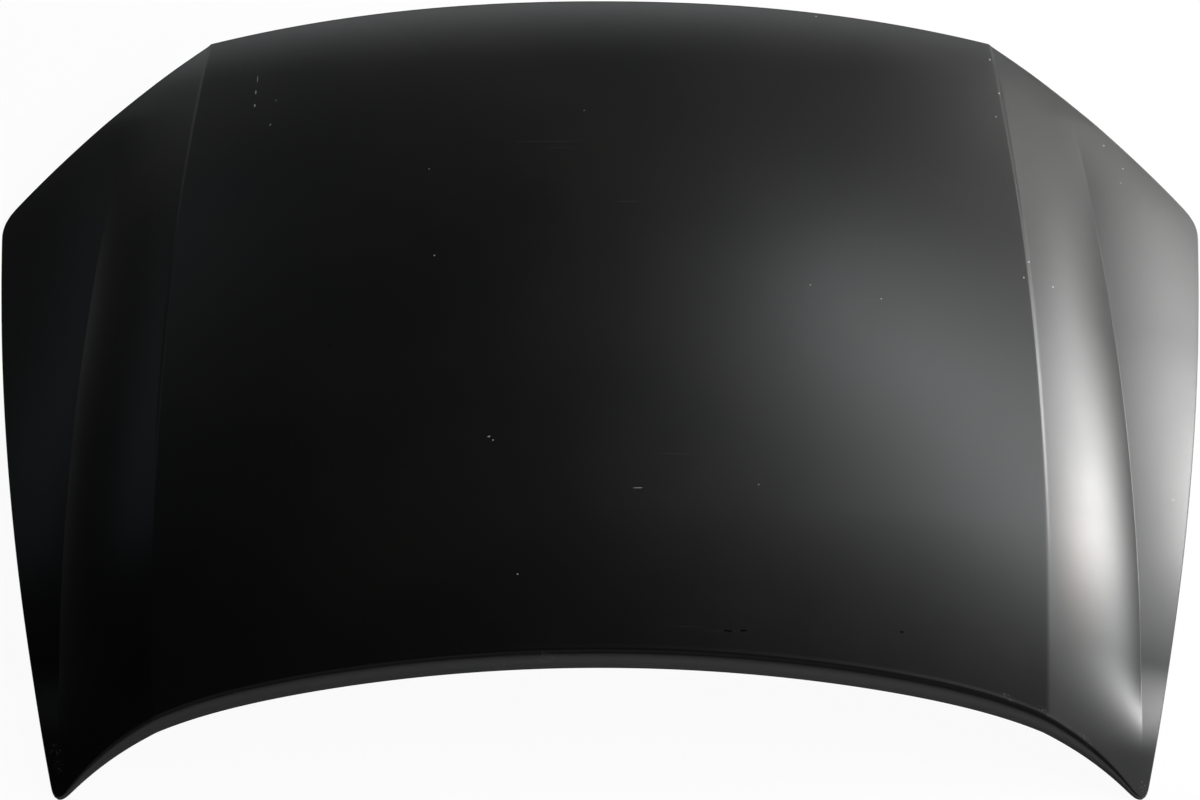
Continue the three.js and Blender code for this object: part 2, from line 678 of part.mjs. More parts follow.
const boltHoles = Object.values(HINGE_BAYS).flatMap(boltCutters);
bonnet.add(named('inner_frame', subtract(pressed(frameSheet, FRAME_THICKNESS), boltHoles), frameCoat));

function padGroup(bay, pad) {
  const group = new THREE.Group();
  group.applyMatrix4(padFrame(bay, pad));
  bonnet.add(group);
  return group;
}

// Hinge reinforcements and their weld nuts stand on the pads, inside the frame
Object.entries(HINGE_BAYS).forEach(([side, bay]) => {
  const group = padGroup(bay, HINGE_PAD);
  const holes = hingeBolts.map(([x, y]) => [x, y, BOLT_HOLE_RADIUS]);
  const width = HINGE_PAD_WIDTH - 2 * PLATE_INSET;
  const sheet = plate(width, HINGE_PAD_LENGTH - 2 * PLATE_INSET, HINGE_PLATE_THICKNESS, holes);
  const reinforcement = named(`hinge_plate_${side}`, sheet, frameCoat);
  reinforcement.position.z = GAP;
  group.add(reinforcement);
  hingeBolts.forEach(([x, y], k) => {
    const nut = named(`hinge_nut_${side}_${k + 1}`, weldNut(), frameCoat);
    nut.position.set(x, y, GAP * 2 + HINGE_PLATE_THICKNESS);
    group.add(nut);
  });
});

// Latch: a reinforcement above the pad, the striker plate and its wire below it
const latch = padGroup(LATCH_BAY, LATCH_PAD);
const latchSheet = plate(
  LATCH_PAD_WIDTH - 2 * PLATE_INSET,
  LATCH_PAD_LENGTH - 2 * PLATE_INSET,
  LATCH_PLATE_THICKNESS,
);
const latchPlate = named('latch_plate', latchSheet, frameCoat);
latchPlate.position.z = GAP;
const legHoles = [-1, 1].map((side) => [side * strikerReach, 0, STRIKER_HOLE_RADIUS]);
const strikerSheet = plate(STRIKER_PLATE_WIDTH, STRIKER_PLATE_LENGTH, STRIKER_PLATE_THICKNESS, legHoles);
const strikerPlate = named('striker_plate', strikerSheet, frameCoat);
strikerPlate.position.z = -FRAME_THICKNESS - GAP - STRIKER_PLATE_THICKNESS;
const striker = named('striker_loop', strikerWire(), wireCoat);
striker.position.z = strikerPlate.position.z;
latch.add(latchPlate, strikerPlate, striker);

// One bead on each lightening hole's flange, on the side nearest the panel's middle
bays.filter((middle) => !padAt(middle)).forEach((middle, k) => {
  const side = middle.b < 0.5 ? 1 : -1;
  const plan = bayPlan(middle, 0, side * (HOLE_LENGTH / 2 + HOLE_FLANGE / 2));
  const seat = onSkin(plan, SKIN_THICKNESS + FLANGE_STANDOFF - GAP);
  const dab = named(`mastic_bead_${String(k + 1).padStart(2, '0')}`, bead(), mastic);
  dab.applyMatrix4(slopedFrame(seat));
  bonnet.add(dab);
});

// Stand the bonnet on its lowest points, with the middle of its length at Y = 0
bonnet.updateMatrixWorld(true);
const box = new THREE.Box3().setFromObject(bonnet);
bonnet.position.set(0, -(box.min.y + box.max.y) / 2, -box.min.z);

export default bonnet;
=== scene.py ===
# %% [markdown]
# # A pressed-steel car bonnet in dip primer
# The panel is one thin outer sheet, folded round the edge of a second, ribbed sheet. Fresh from
# the dip tank it is near black and satin, so its shape shows only in its reflections. That is why
# this scene spends its effort on an exact, fine surface, and on a few large soft lamps.
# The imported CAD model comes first, as the fixed frame that every piece is set against.

# %% Load the frame
import json
import math

import bmesh
import bpy
import numpy as np
from mathutils import Matrix, Vector


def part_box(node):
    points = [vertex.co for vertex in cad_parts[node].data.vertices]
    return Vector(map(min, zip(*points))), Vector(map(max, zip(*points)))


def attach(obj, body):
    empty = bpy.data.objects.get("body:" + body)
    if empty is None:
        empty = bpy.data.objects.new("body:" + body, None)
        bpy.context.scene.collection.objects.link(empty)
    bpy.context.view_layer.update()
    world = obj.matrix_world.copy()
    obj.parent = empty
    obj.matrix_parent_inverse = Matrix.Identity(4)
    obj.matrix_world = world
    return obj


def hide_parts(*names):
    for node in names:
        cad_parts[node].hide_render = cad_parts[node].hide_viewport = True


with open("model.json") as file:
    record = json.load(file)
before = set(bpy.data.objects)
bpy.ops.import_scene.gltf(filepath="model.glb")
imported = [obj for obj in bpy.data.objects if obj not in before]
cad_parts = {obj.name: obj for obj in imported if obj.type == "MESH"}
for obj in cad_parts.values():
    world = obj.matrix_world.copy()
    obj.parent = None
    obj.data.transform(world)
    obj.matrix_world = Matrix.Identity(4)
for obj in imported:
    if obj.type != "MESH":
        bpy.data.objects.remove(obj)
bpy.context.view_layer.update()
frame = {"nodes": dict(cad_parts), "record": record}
MM = 0.001
TINY = 1e-9
print("CAD nodes:", len(frame["nodes"]))

# %% [markdown]
# Three small jobs come up again and again, so each is a function: putting an object into the
# scene, taking the mesh that a curve or a modifier makes, and shading a mesh smooth but for bends
# sharper than some number of degrees.

# %% Object helpers
SHEET_BEND, BLANK_BEND, SMALL_BEND = 60, 50, 40


def new_object(name, data):
    made = bpy.data.objects.new(name, data)
    bpy.context.scene.collection.objects.link(made)
    return made


def baked_mesh(source):
    graph = bpy.context.evaluated_depsgraph_get()
    return bpy.data.meshes.new_from_object(source.evaluated_get(graph))


def smoothed(mesh, sharpest_bend):
    mesh.shade_smooth()
    mesh.set_sharp_from_angle(angle=math.radians(sharpest_bend))


# %% [markdown]
# ## The shape as numbers
# A press tool is cut from a few driving curves: the outline, one crease and one shoulder line on
# each side, and how far the sheet falls away between them. Repeating those curves as functions
# lets Blender lay out as many points as a smooth reflection needs. Millimetres are used here, as
# a toolmaker would, and the mesh is made in metres.

# %% Driving sizes
PANEL_WIDTH = 1528.0
PANEL_LENGTH = 998.3
REAR_CENTRE_Y = 565.0
FRONT_CENTRE_Y = REAR_CENTRE_Y - PANEL_LENGTH
REAR_CORNER = np.array([PANEL_WIDTH * 0.3312, 518.0])
REAR_BOW_POWER = 2.4
SIDE_CORNER = np.array([PANEL_WIDTH / 2, 266.0])
DIAGONAL_BOW = 6.5
TIP_X = PANEL_WIDTH * 0.42
SIDE_BOW = 17.8
FRONT_SWEEP = 63.4
TIP_CURL = 76.3
TIP_CURL_POWER = 9
CORNER_REACH = 24.0

CREASE_FRONT = np.array([PANEL_WIDTH * 0.3446, -490.0])
CREASE_BOW = 17.0
LINE_FRONT = np.array([PANEL_WIDTH * 0.4175, -560.0])
LINE_REAR = np.array([PANEL_WIDTH * 0.3946, 440.0])
LINE_BOW = 24.0

TOP_Z, TOP_Y, LENGTH_RADIUS = 170.0, -83.0, 2500.0
NOSE_Y, NOSE_RADIUS = -250.0, 1500.0
COWL_Y, COWL_RADIUS = 440.0, 900.0

CROWN_SLOPE = 0.187
PLAIN_SLOPE = 0.34
SHOULDER_FOOT_SLOPE = 0.80
OUTER_SLOPE = 0.28
EDGE_SLOPE = 0.44
OUTER_WIDTH = 110.0
SHOULDER_EVEN, SHOULDER_POWER = 0.672, 6
CREASE_RADIUS = 3.0
CREASE_ROLL, CREASE_ROLL_WIDTH, CREASE_ROLL_END = 0.38, 3.2, 60.0
CREASE_ROLL_RADIUS = 0.8
ROLL_FRONT, ROLL_FULL = -450.0, 330.0
LINE_RADIUS = 0.25
STEP_REAR, STEP_RISE = (400.0, 65.0), 0.6
LEVEL_REAR = (430.0, 262.0)
STEP_FRONT = (-520.0, -400.0)
print("panel", PANEL_WIDTH, "mm wide,", PANEL_LENGTH, "mm along the middle")

# %% [markdown]
# Each curve is a small function on whole arrays, so one call works out every point of a row.
# `hinge` is the useful one: it turns a sharp change of slope into one rolled over a radius,
# which is what sheet steel does over the edge of a tool. The shoulder's step fades out towards
# both ends: at the rear it grows quickly, so that its line has a clear start, and the outer zone
# has levelled out before the step is full.

# %% Heights
def mixed(start, end, share):
    return start + (end - start) * share


def bow(share):
    return 4 * share * (1 - share)


def fade(start, full, value):
    share = np.clip((value - start) / (full - start), 0, 1)
    return share * share * (3 - 2 * share)


def hinge(value, radius):
    rolled = (value + radius) ** 2 / (4 * radius)
    return np.where(value <= -radius, 0, np.where(value >= radius, value, rolled))


def crease_x(y):
    share = (y - CREASE_FRONT[1]) / (REAR_CORNER[1] - CREASE_FRONT[1])
    return mixed(CREASE_FRONT[0], REAR_CORNER[0], share) + CREASE_BOW * bow(share)


def line_x(y):
    share = (y - LINE_FRONT[1]) / (LINE_REAR[1] - LINE_FRONT[1])
    return mixed(LINE_FRONT[0], LINE_REAR[0], share) + LINE_BOW * bow(share)


def centre_z(y):
    arch = (y - TOP_Y) ** 2 / (2 * LENGTH_RADIUS)
    nose = np.maximum(0, NOSE_Y - y) ** 2 / (2 * NOSE_RADIUS)
    cowl = np.maximum(0, y - COWL_Y) ** 2 / (2 * COWL_RADIUS)
    return TOP_Z - arch - nose - cowl


def skin_z(x, y):
    across = np.abs(x)
    crease, line = crease_x(y), line_x(y)
    step = fade(*STEP_REAR, y) ** STEP_RISE * fade(*STEP_FRONT, y)
    level = fade(*LEVEL_REAR, y) * fade(*STEP_FRONT, y)
    foot = mixed(PLAIN_SLOPE, SHOULDER_FOOT_SLOPE, step)
    outer = mixed(PLAIN_SLOPE, OUTER_SLOPE, level)
    from_crease = across - crease
    past = np.maximum(0, from_crease)
    inside = np.minimum(across, crease)
    width = line - crease
    growing = np.minimum(past, width)
    beyond = np.maximum(0, across - line)
    drop = CROWN_SLOPE * inside ** 2 / (2 * crease) + CROWN_SLOPE * past
    drop += (PLAIN_SLOPE - CROWN_SLOPE) * hinge(from_crease, CREASE_RADIUS)
    roll_end = hinge(from_crease - CREASE_ROLL_WIDTH, CREASE_ROLL_RADIUS)
    rolled = hinge(from_crease, CREASE_ROLL_RADIUS) - roll_end
    settled = CREASE_ROLL_WIDTH * fade(CREASE_ROLL_WIDTH, CREASE_ROLL_END, past)
    drop += CREASE_ROLL * fade(ROLL_FRONT, ROLL_FULL, y) * (rolled - settled)
    share = growing / width
    steepening = (1 - SHOULDER_EVEN) * share ** SHOULDER_POWER / (SHOULDER_POWER + 1)
    drop += (foot - PLAIN_SLOPE) * growing * (SHOULDER_EVEN * share / 2 + steepening)
    drop += (foot - PLAIN_SLOPE) * beyond + (outer - foot) * hinge(across - line, LINE_RADIUS)
    drop += (EDGE_SLOPE - outer) * beyond ** 2 / (2 * OUTER_WIDTH)
    return centre_z(y) - drop


print("height at the middle", round(float(skin_z(0.0, 0.0)), 1), "mm")

# %% Outline
def bowed(start, end, height, share):
    chord = end - start
    outward = np.array([chord[1], -chord[0]]) / np.hypot(*chord)
    share = np.asarray(share, float)[..., None]
    return start + chord * share + outward * height * bow(share)


def front_y(x):
    share = np.abs(x) / TIP_X
    return FRONT_CENTRE_Y - FRONT_SWEEP * share ** 2 - TIP_CURL * share ** TIP_CURL_POWER


def rear_y(x):
    fall = (REAR_CENTRE_Y - REAR_CORNER[1]) * np.abs(x / REAR_CORNER[0]) ** REAR_BOW_POWER
    return REAR_CENTRE_Y - fall


TIP = np.array([TIP_X, front_y(TIP_X)])
END_STEP = 0.02
CREASE_END_X = crease_x(front_y(CREASE_FRONT[0]))


def heading(start, end):
    return (end - start) / np.hypot(*(end - start))


SIDE_FROM_TIP = heading(TIP, bowed(TIP, SIDE_CORNER, SIDE_BOW, END_STEP))
SIDE_FROM_CORNER = heading(SIDE_CORNER, bowed(TIP, SIDE_CORNER, SIDE_BOW, 1 - END_STEP))
DIAGONAL_FROM_CORNER = heading(SIDE_CORNER, bowed(SIDE_CORNER, REAR_CORNER, DIAGONAL_BOW, END_STEP * 2))
FRONT_NEAR = TIP_X * (1 - END_STEP)
FRONT_FROM_TIP = heading(TIP, np.array([FRONT_NEAR, front_y(FRONT_NEAR)]))


def softened(points, corner, back, onward):
    distance = np.linalg.norm(points - corner, axis=-1)
    share = np.clip((1 - distance / CORNER_REACH) / 2, 0, 0.5)[..., None]
    rounded = corner + back * CORNER_REACH * (1 - share) ** 2 + onward * CORNER_REACH * share ** 2
    return np.where(distance[..., None] < CORNER_REACH, rounded, points)


def front_edge(share):
    x = mixed(CREASE_END_X, TIP_X, np.asarray(share, float))
    return softened(np.stack([x, front_y(x)], -1), TIP, FRONT_FROM_TIP, SIDE_FROM_TIP)


def side_edge(along):
    points = bowed(TIP, SIDE_CORNER, SIDE_BOW, along)
    points = softened(points, TIP, SIDE_FROM_TIP, FRONT_FROM_TIP)
    return softened(points, SIDE_CORNER, SIDE_FROM_CORNER, DIAGONAL_FROM_CORNER)


def diagonal_edge(share):
    points = bowed(SIDE_CORNER, REAR_CORNER, DIAGONAL_BOW, 1 - np.asarray(share, float))
    return softened(points, SIDE_CORNER, DIAGONAL_FROM_CORNER, SIDE_FROM_CORNER)


def crease_point(along):
    y = mixed(front_y(CREASE_END_X), REAR_CORNER[1], np.asarray(along, float))
    return np.stack([crease_x(y), y], -1)


print("tip at", TIP.round(1), "mm")

# %% [markdown]
# The plan is split where the real panel is: one patch between the creases and one outside each.
# `plan` gives the place of any point from two shares, so the same rule serves the outer skin,
# the inner frame and the things fixed to it. The side patch blends its four edges together,
# which is called a Coons patch.

# %% Plan
def centre_plan(across, along):
    crease = crease_point(along)
    front = front_y(across * CREASE_END_X) - front_y(CREASE_END_X)
    rear = rear_y(across * REAR_CORNER[0]) - REAR_CORNER[1]
    return np.stack([across * crease[..., 0], crease[..., 1] + front * (1 - along) + rear * along], -1)


def side_plan(share, along):
    share, along = np.broadcast_arrays(np.asarray(share, float), np.asarray(along, float))
    s, b = share[..., None], along[..., None]
    zero, one = np.zeros_like(share), np.ones_like(share)
    point = front_edge(share) * (1 - b) + diagonal_edge(share) * b
    point = point + crease_point(along) * (1 - s) + side_edge(along) * s
    point = point - front_edge(zero) * (1 - s) * (1 - b) - front_edge(one) * s * (1 - b)
    return point - diagonal_edge(zero) * (1 - s) * b - diagonal_edge(one) * s * b


def plan(across, along):
    across, along = np.broadcast_arrays(np.asarray(across, float), np.asarray(along, float))
    middle = centre_plan(np.clip(across, -1, 1), along)
    side = side_plan(np.clip(np.abs(across) - 1, 0, 1), along)
    side = side * np.stack([np.sign(across), np.ones_like(across)], -1)
    return np.where((np.abs(across) <= 1)[..., None], middle, side)


HALVINGS = 30


def line_share(along):
    """The share across the side patch at which the shoulder line lies, by halving."""
    low, high = np.zeros_like(along), np.ones_like(along)
    for _ in range(HALVINGS):
        middle = (low + high) / 2
        point = side_plan(middle, along)
        inside = point[..., 0] < line_x(point[..., 1])
        low, high = np.where(inside, middle, low), np.where(inside, high, middle)
    return low


# The CAD stands the panel on its tips, with the middle of its length at Y = 0. The box of its
# outer skin gives that shift: the hem's bulge behind the rear edge, and the height of the crown.
HEM_BULGE = 1.0
crown_row = np.linspace(-300, 300, 601)
crown_z = float(skin_z(np.zeros_like(crown_row), crown_row).max())
skin_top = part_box("outer_skin")[1]
SHIFT = np.array([0.0, skin_top.y / MM - REAR_CENTRE_Y - HEM_BULGE, skin_top.z / MM - crown_z])
print("shift to the frame", SHIFT.round(2), "mm")

# %% [markdown]
# ## Sheets and shells
# A pressing is one sheet with a thickness. Here a sheet is a list of points and four-cornered
# faces. `shell` pushes a copy of it inward along the surface and closes the rim, which gives the
# two faces and the cut edge that real sheet has. Solidify could do the same; doing it in numbers
# keeps the thickness true where the sheet folds back on itself in the hem.

# %% Shell maker
class Sheet:
    """Points and faces of one sheet, gathered piece by piece."""

    def __init__(self):
        self.points, self.faces, self.count = [], [], 0

    def add(self, points):
        points = np.asarray(points, float).reshape(-1, 3)
        numbers = np.arange(self.count, self.count + len(points))
        self.points.append(points)
        self.count += len(points)
        return numbers

    def grid(self, numbers, keep=None):
        near, far = numbers[:-1], numbers[1:]
        quads = np.stack([near[:, :-1], near[:, 1:], far[:, 1:], far[:, :-1]], -1)
        quads = quads.reshape(-1, 4) if keep is None else quads[keep]
        self.faces.append(quads)

    def band(self, inner, outer):
        onward = np.roll(np.arange(len(inner)), -1)
        self.faces.append(np.stack([inner, outer, outer[onward], inner[onward]], -1))

    def onward(self, ring, points):
        """Adds a ring outside the last one, and joins them."""
        numbers = self.add(points)
        self.band(ring, numbers)
        return numbers

    def inward(self, ring, points):
        numbers = self.add(points)
        self.band(numbers, ring)
        return numbers

    def arrays(self):
        return np.concatenate(self.points), np.concatenate(self.faces)


def vertex_normals(points, faces):
    across = points[faces[:, 2]] - points[faces[:, 0]]
    along = points[faces[:, 3]] - points[faces[:, 1]]
    normals = np.cross(across, along)
    normals /= np.maximum(np.linalg.norm(normals, axis=1, keepdims=True), TINY)
    total = np.zeros_like(points)
    for corner in range(4):
        np.add.at(total, faces[:, corner], normals)
    return total / np.maximum(np.linalg.norm(total, axis=1, keepdims=True), TINY)


def shell(points, faces, thickness):
    inner = points - vertex_normals(points, faces) * thickness
    count = len(points)
    edges = np.concatenate([faces[:, [k, (k + 1) % 4]] for k in range(4)])
    keys = edges[:, 0] * count + edges[:, 1]
    back = edges[:, 1] * count + edges[:, 0]
    rim = edges[~np.isin(keys, back)]
    walls = np.stack([rim[:, 1], rim[:, 0], rim[:, 0] + count, rim[:, 1] + count], -1)
    return np.concatenate([points, inner]), np.concatenate([faces, faces[:, ::-1] + count, walls])


def as_mesh(name, points, faces):
    mesh = bpy.data.meshes.new(name)
    mesh.from_pydata(((points + SHIFT) * MM).tolist(), [], faces.tolist())
    smoothed(mesh, SHEET_BEND)
    print(name, len(mesh.polygons), "faces")
    return new_object(name, mesh)


# %% [markdown]
# ## Outer skin
# The big outer sheet: a crowned middle, a crisp crease, a shoulder that steepens to the second
# line, a flatter wing, a rolled lip along the nose, and a hem folded flat round the rest.
# Points are laid out close together where the sheet turns quickly, because a satin finish
# shows a coarse bend as a row of facets. A subdivided cage would be quicker to model and would
# lose the exact crease, so the points come straight from the height rule.

# %% Outer skin points
SKIN_THICKNESS = 0.8
FRAME_THICKNESS = 0.7
HEM_ROOM, HEM_SEAT_GAP = 1.1, 0.4
HEM_DROP = SKIN_THICKNESS * 2 + FRAME_THICKNESS + HEM_SEAT_GAP + HEM_ROOM
HEM_RETURN = 9.0
LIP_DROP, LIP_REACH = 30.0, 13.0
FRAME_INSET = 34.0

near_crease = np.array([0.0, 0.0015, 0.003, 0.0045, 0.006, 0.009, 0.014, 0.024])
centre_half = np.unique(np.concatenate([np.linspace(0, 0.965, 52), 1 - near_crease]))
centre_stations = np.concatenate([-centre_half[:0:-1], centre_half])
after_crease = np.concatenate([
    [0.003, 0.006, 0.009, 0.012, 0.015, 0.018, 0.021, 0.026, 0.034, 0.045, 0.06, 0.09],
    np.linspace(0.13, 0.9, 20)])
shoulder_shares = np.concatenate([after_crease, [0.93, 0.95, 0.965, 0.98, 0.99, 0.997, 1.0]])
wing_shares = np.concatenate([[0.003, 0.008, 0.016, 0.03, 0.05, 0.08], np.linspace(0.12, 0.985, 20), [1.0]])
row_ends = np.array([0, 0.003, 0.006, 0.009, 0.012, 0.016, 0.022])
rows = np.unique(np.concatenate([row_ends, np.linspace(0.03, 0.97, 122), 1 - row_ends]))
line_at = line_share(rows)
side_shares = np.concatenate([
    line_at[:, None] * shoulder_shares, mixed(line_at[:, None], 1, wing_shares)], axis=1)
middle_block = np.broadcast_to(centre_stations, (len(rows), len(centre_stations)))
columns = np.concatenate([-(1 + side_shares[:, ::-1]), middle_block, 1 + side_shares], axis=1)
print("skin grid", columns.shape)


def with_height(plan_points, z):
    return np.concatenate([plan_points, z[..., None]], -1)


def on_skin(plan_points, below=0.0):
    return with_height(plan_points, skin_z(plan_points[..., 0], plan_points[..., 1]) - below)


def loop_of(grid):
    return np.concatenate([grid[0], grid[1:-1, -1], grid[-1, ::-1], grid[-2:0:-1, 0]])


def slope_length(points):
    x, y = points[..., 0], points[..., 1]
    slope_x = (skin_z(x + 1, y) - skin_z(x - 1, y)) / 2
    slope_y = (skin_z(x, y + 1) - skin_z(x, y - 1)) / 2
    return np.sqrt(1 + slope_x ** 2 + slope_y ** 2)


top = on_skin(plan(columns, rows[:, None]))

# %% [markdown]
# The lip and hem are rings of points round the whole outline. Along the nose the sheet rolls
# over and drops 30 mm; from the tips backwards it only bulges a millimetre and folds straight
# under. `lip` is the share of the full lip at each station, and fades out towards the tips.
# The skin and the inner frame both end at this outline, so it is a class that both can use.

# %% Lip and hem rings
MITRE_LIMIT = 0.6


class Outline:
    """Stations round the edge, from the outline's grid and the same grid drawn inwards."""

    def __init__(self, columns, rows, inner_columns, inner_rows):
        self.crest = loop_of(on_skin(plan(columns, rows[:, None])))
        self.inner = loop_of(plan(inner_columns, inner_rows[:, None]))
        tangent = (np.roll(self.crest, -1, 0) - np.roll(self.crest, 1, 0))[:, :2]
        outward = np.stack([tangent[:, 1], -tangent[:, 0]], -1)
        self.outward = outward / np.linalg.norm(outward, axis=1, keepdims=True)
        inward = self.inner - self.crest[:, :2]
        inward /= np.linalg.norm(inward, axis=1, keepdims=True)
        square = np.maximum(MITRE_LIMIT, -(inward * self.outward).sum(1))
        self.inward = inward / square[:, None]
        tip_share = np.clip(np.abs(self.crest[:, 0]) / TIP_X, 0, 1)
        in_front = np.arange(len(self.crest)) < columns.shape[1]
        self.lip = np.where(in_front, 1 - tip_share ** TIP_CURL_POWER, 0)
        self.drop = mixed(HEM_DROP * slope_length(self.crest), LIP_DROP, self.lip)
        self.reach = mixed(HEM_BULGE, LIP_REACH, self.lip)

    def ring(self, out, down):
        offset = self.outward * (self.reach * out)[:, None]
        return with_height(self.crest[:, :2] + offset, self.crest[:, 2] - self.drop * down)

    def hem(self, inset, lift=0.0):
        foot = self.ring(1.0, 1.0)
        points = foot[:, :2] + self.inward * inset
        rise = skin_z(points[:, 0], points[:, 1]) - skin_z(foot[:, 0], foot[:, 1])
        height = foot[:, 2] + rise * (1 - self.lip) + lift * slope_length(points)
        return with_height(points, height)


def drawn_in(columns, rows):
    """The same grid, with its edge FRAME_INSET inside the panel's."""
    start = FRAME_INSET / PANEL_LENGTH
    inner_rows = mixed(start, 1 - start, rows)
    side_width = np.linalg.norm(side_edge(inner_rows) - crease_point(inner_rows), axis=-1)
    reach = (1 - FRAME_INSET / side_width)[:, None]
    beyond = np.abs(columns) - 1
    return np.where(beyond > 0, np.sign(columns) * (1 + beyond * reach), columns), inner_rows


skin_outline = Outline(columns, rows, *drawn_in(columns, rows))
print("stations round the edge:", len(skin_outline.crest))

# %% Outer skin mesh
LIP_STEPS = 14
LIP_HANDLE_OUT, LIP_HANDLE_DOWN = 0.62, 0.38
HEM_INSETS = (0.25, 0.8, 2.0, 5.0, HEM_RETURN)
skin = Sheet()
skin_numbers = skin.add(top).reshape(columns.shape)
skin.grid(skin_numbers)
previous = loop_of(skin_numbers[..., None])[:, 0]
for step in range(1, LIP_STEPS + 1):
    t = step / LIP_STEPS
    out = 3 * (1 - t) ** 2 * t * LIP_HANDLE_OUT + 3 * (1 - t) * t ** 2 + t ** 3
    down = 3 * (1 - t) * t ** 2 * LIP_HANDLE_DOWN + t ** 3
    previous = skin.onward(previous, skin_outline.ring(out, down))
for inset in HEM_INSETS:
    previous = skin.onward(previous, skin_outline.hem(inset))
outer_skin = as_mesh("outer_skin_fine", *shell(*skin.arrays(), SKIN_THICKNESS))

# %% [markdown]
# ## Inner frame
# The frame is a second pressing, with a grid of ribs that stand away from the skin and rise to it
# round twenty bays. Seventeen bays have a lightening hole with a flange just under the skin, and
# three have a flat pad for the hinges and the latch. Its section, from the rib across the wall to
# the hole, is a short list of corners; rounding those and sweeping them round each bay gives the
# soft bends of drawn steel. Cutting the holes out of a flat grid would leave ragged edges.

# %% Frame sizes
RIB_DEPTH, RIM_DEPTH = 25.0, 9.0
BAY_COLUMNS, BAY_ROWS, BAY_CELLS = 5, 4, 10
BAY_MARGIN = 0.085
HOLE_WIDTH, HOLE_LENGTH, HOLE_ROUNDNESS, HOLE_FLANGE = 140.0, 132.0, 4, 12.0
RIB_WALL, FLANGE_STANDOFF = 8.0, 4.0
FRAME_EDGE_INSET, FRAME_FLANGE = 3.0, 12.0
PAD_DEPTH = 28.0
HINGE_PAD = {"width": 76.0, "length": 112.0, "shift": 24.0}
LATCH_PAD = {"width": 130.0, "length": 66.0, "shift": -52.0}
BAY_HALF_WIDTH = float(crease_x(0.0)) / BAY_COLUMNS
BAY_HALF_LENGTH = PANEL_LENGTH * (1 - 2 * BAY_MARGIN) / BAY_ROWS / 2
BEND_REACH = 3.5

front_side = np.stack([np.linspace(-1, 1, BAY_CELLS + 1)[:-1], -np.ones(BAY_CELLS)], -1)
bay_sides = [front_side]
for _ in range(3):
    bay_sides.append(np.stack([-bay_sides[-1][:, 1], bay_sides[-1][:, 0]], -1))
bay_round = np.concatenate(bay_sides)


def bay_middle(column, row):
    return (2 * column + 1) / BAY_COLUMNS - 1, mixed(BAY_MARGIN, 1 - BAY_MARGIN, (row + 0.5) / BAY_ROWS)


def bay_plan(middle, across, along):
    a = middle[0] + across / (BAY_HALF_WIDTH * BAY_COLUMNS)
    b = middle[1] + along / (BAY_HALF_LENGTH * BAY_ROWS) * (0.5 - BAY_MARGIN)
    return centre_plan(np.asarray(a), np.asarray(b))


def rounded(directions):
    size = (np.abs(directions) ** HOLE_ROUNDNESS).sum(-1) ** (1 / HOLE_ROUNDNESS)
    return directions / np.maximum(size, TINY)[..., None]


def bent(corners, reach, steps=4):
    """A section's corners, each one rounded, as a list of points."""
    corners = [np.array(corner, float) for corner in corners]
    path = [corners[0]]
    for before, corner, after in zip(corners, corners[1:], corners[2:]):
        start = corner - heading(before, corner) * reach
        end = corner + heading(corner, after) * reach
        for t in np.linspace(0, 1, steps + 1):
            path.append(start * (1 - t) ** 2 + corner * 2 * t * (1 - t) + end * t ** 2)
    return path + [corners[-1]]


bay_size = round(2 * BAY_HALF_WIDTH), round(2 * BAY_HALF_LENGTH)
print("bays", BAY_COLUMNS * BAY_ROWS, "each", bay_size, "mm")

# %% [markdown]
# A pad stays flat, so it has a frame of its own: its middle lies under the skin, and its third
# direction is the skin's normal there. The hardware on the pads uses the same frames.

# %% Pads
def sloped_frame(point):
    x, y = float(point[0]), float(point[1])
    normal = Vector((
        float(skin_z(x - 1.0, y) - skin_z(x + 1.0, y)) / 2,
        float(skin_z(x, y - 1.0) - skin_z(x, y + 1.0)) / 2, 1.0))
    normal.normalize()
    across = Vector((0, 1, 0)).cross(normal).normalized()
    along = normal.cross(across)
    basis = Matrix((across, along, normal)).transposed().to_4x4()
    return Matrix.Translation(Vector(point)) @ basis


def pad_frame(middle, pad):
    return sloped_frame(on_skin(bay_plan(middle, 0.0, pad["shift"]), PAD_DEPTH))


def placed(seat, points):
    turn = np.array(seat)
    return points @ turn[:3, :3].T + turn[:3, 3]


def in_metres(seat):
    """The same place for mesh data: shifted to the frame, and in metres."""
    return Matrix.Translation((seat.translation + Vector(SHIFT)) * MM) @ seat.to_3x3().to_4x4()


LATCH_BAY = bay_middle((BAY_COLUMNS - 1) // 2, 0)
HINGE_BAYS = {"left": bay_middle(0, BAY_ROWS - 1), "right": bay_middle(BAY_COLUMNS - 1, BAY_ROWS - 1)}
PADS = {LATCH_BAY: LATCH_PAD, HINGE_BAYS["left"]: HINGE_PAD, HINGE_BAYS["right"]: HINGE_PAD}
ALL_BAYS = [bay_middle(column, row) for row in range(BAY_ROWS) for column in range(BAY_COLUMNS)]
print("pads", len(PADS))

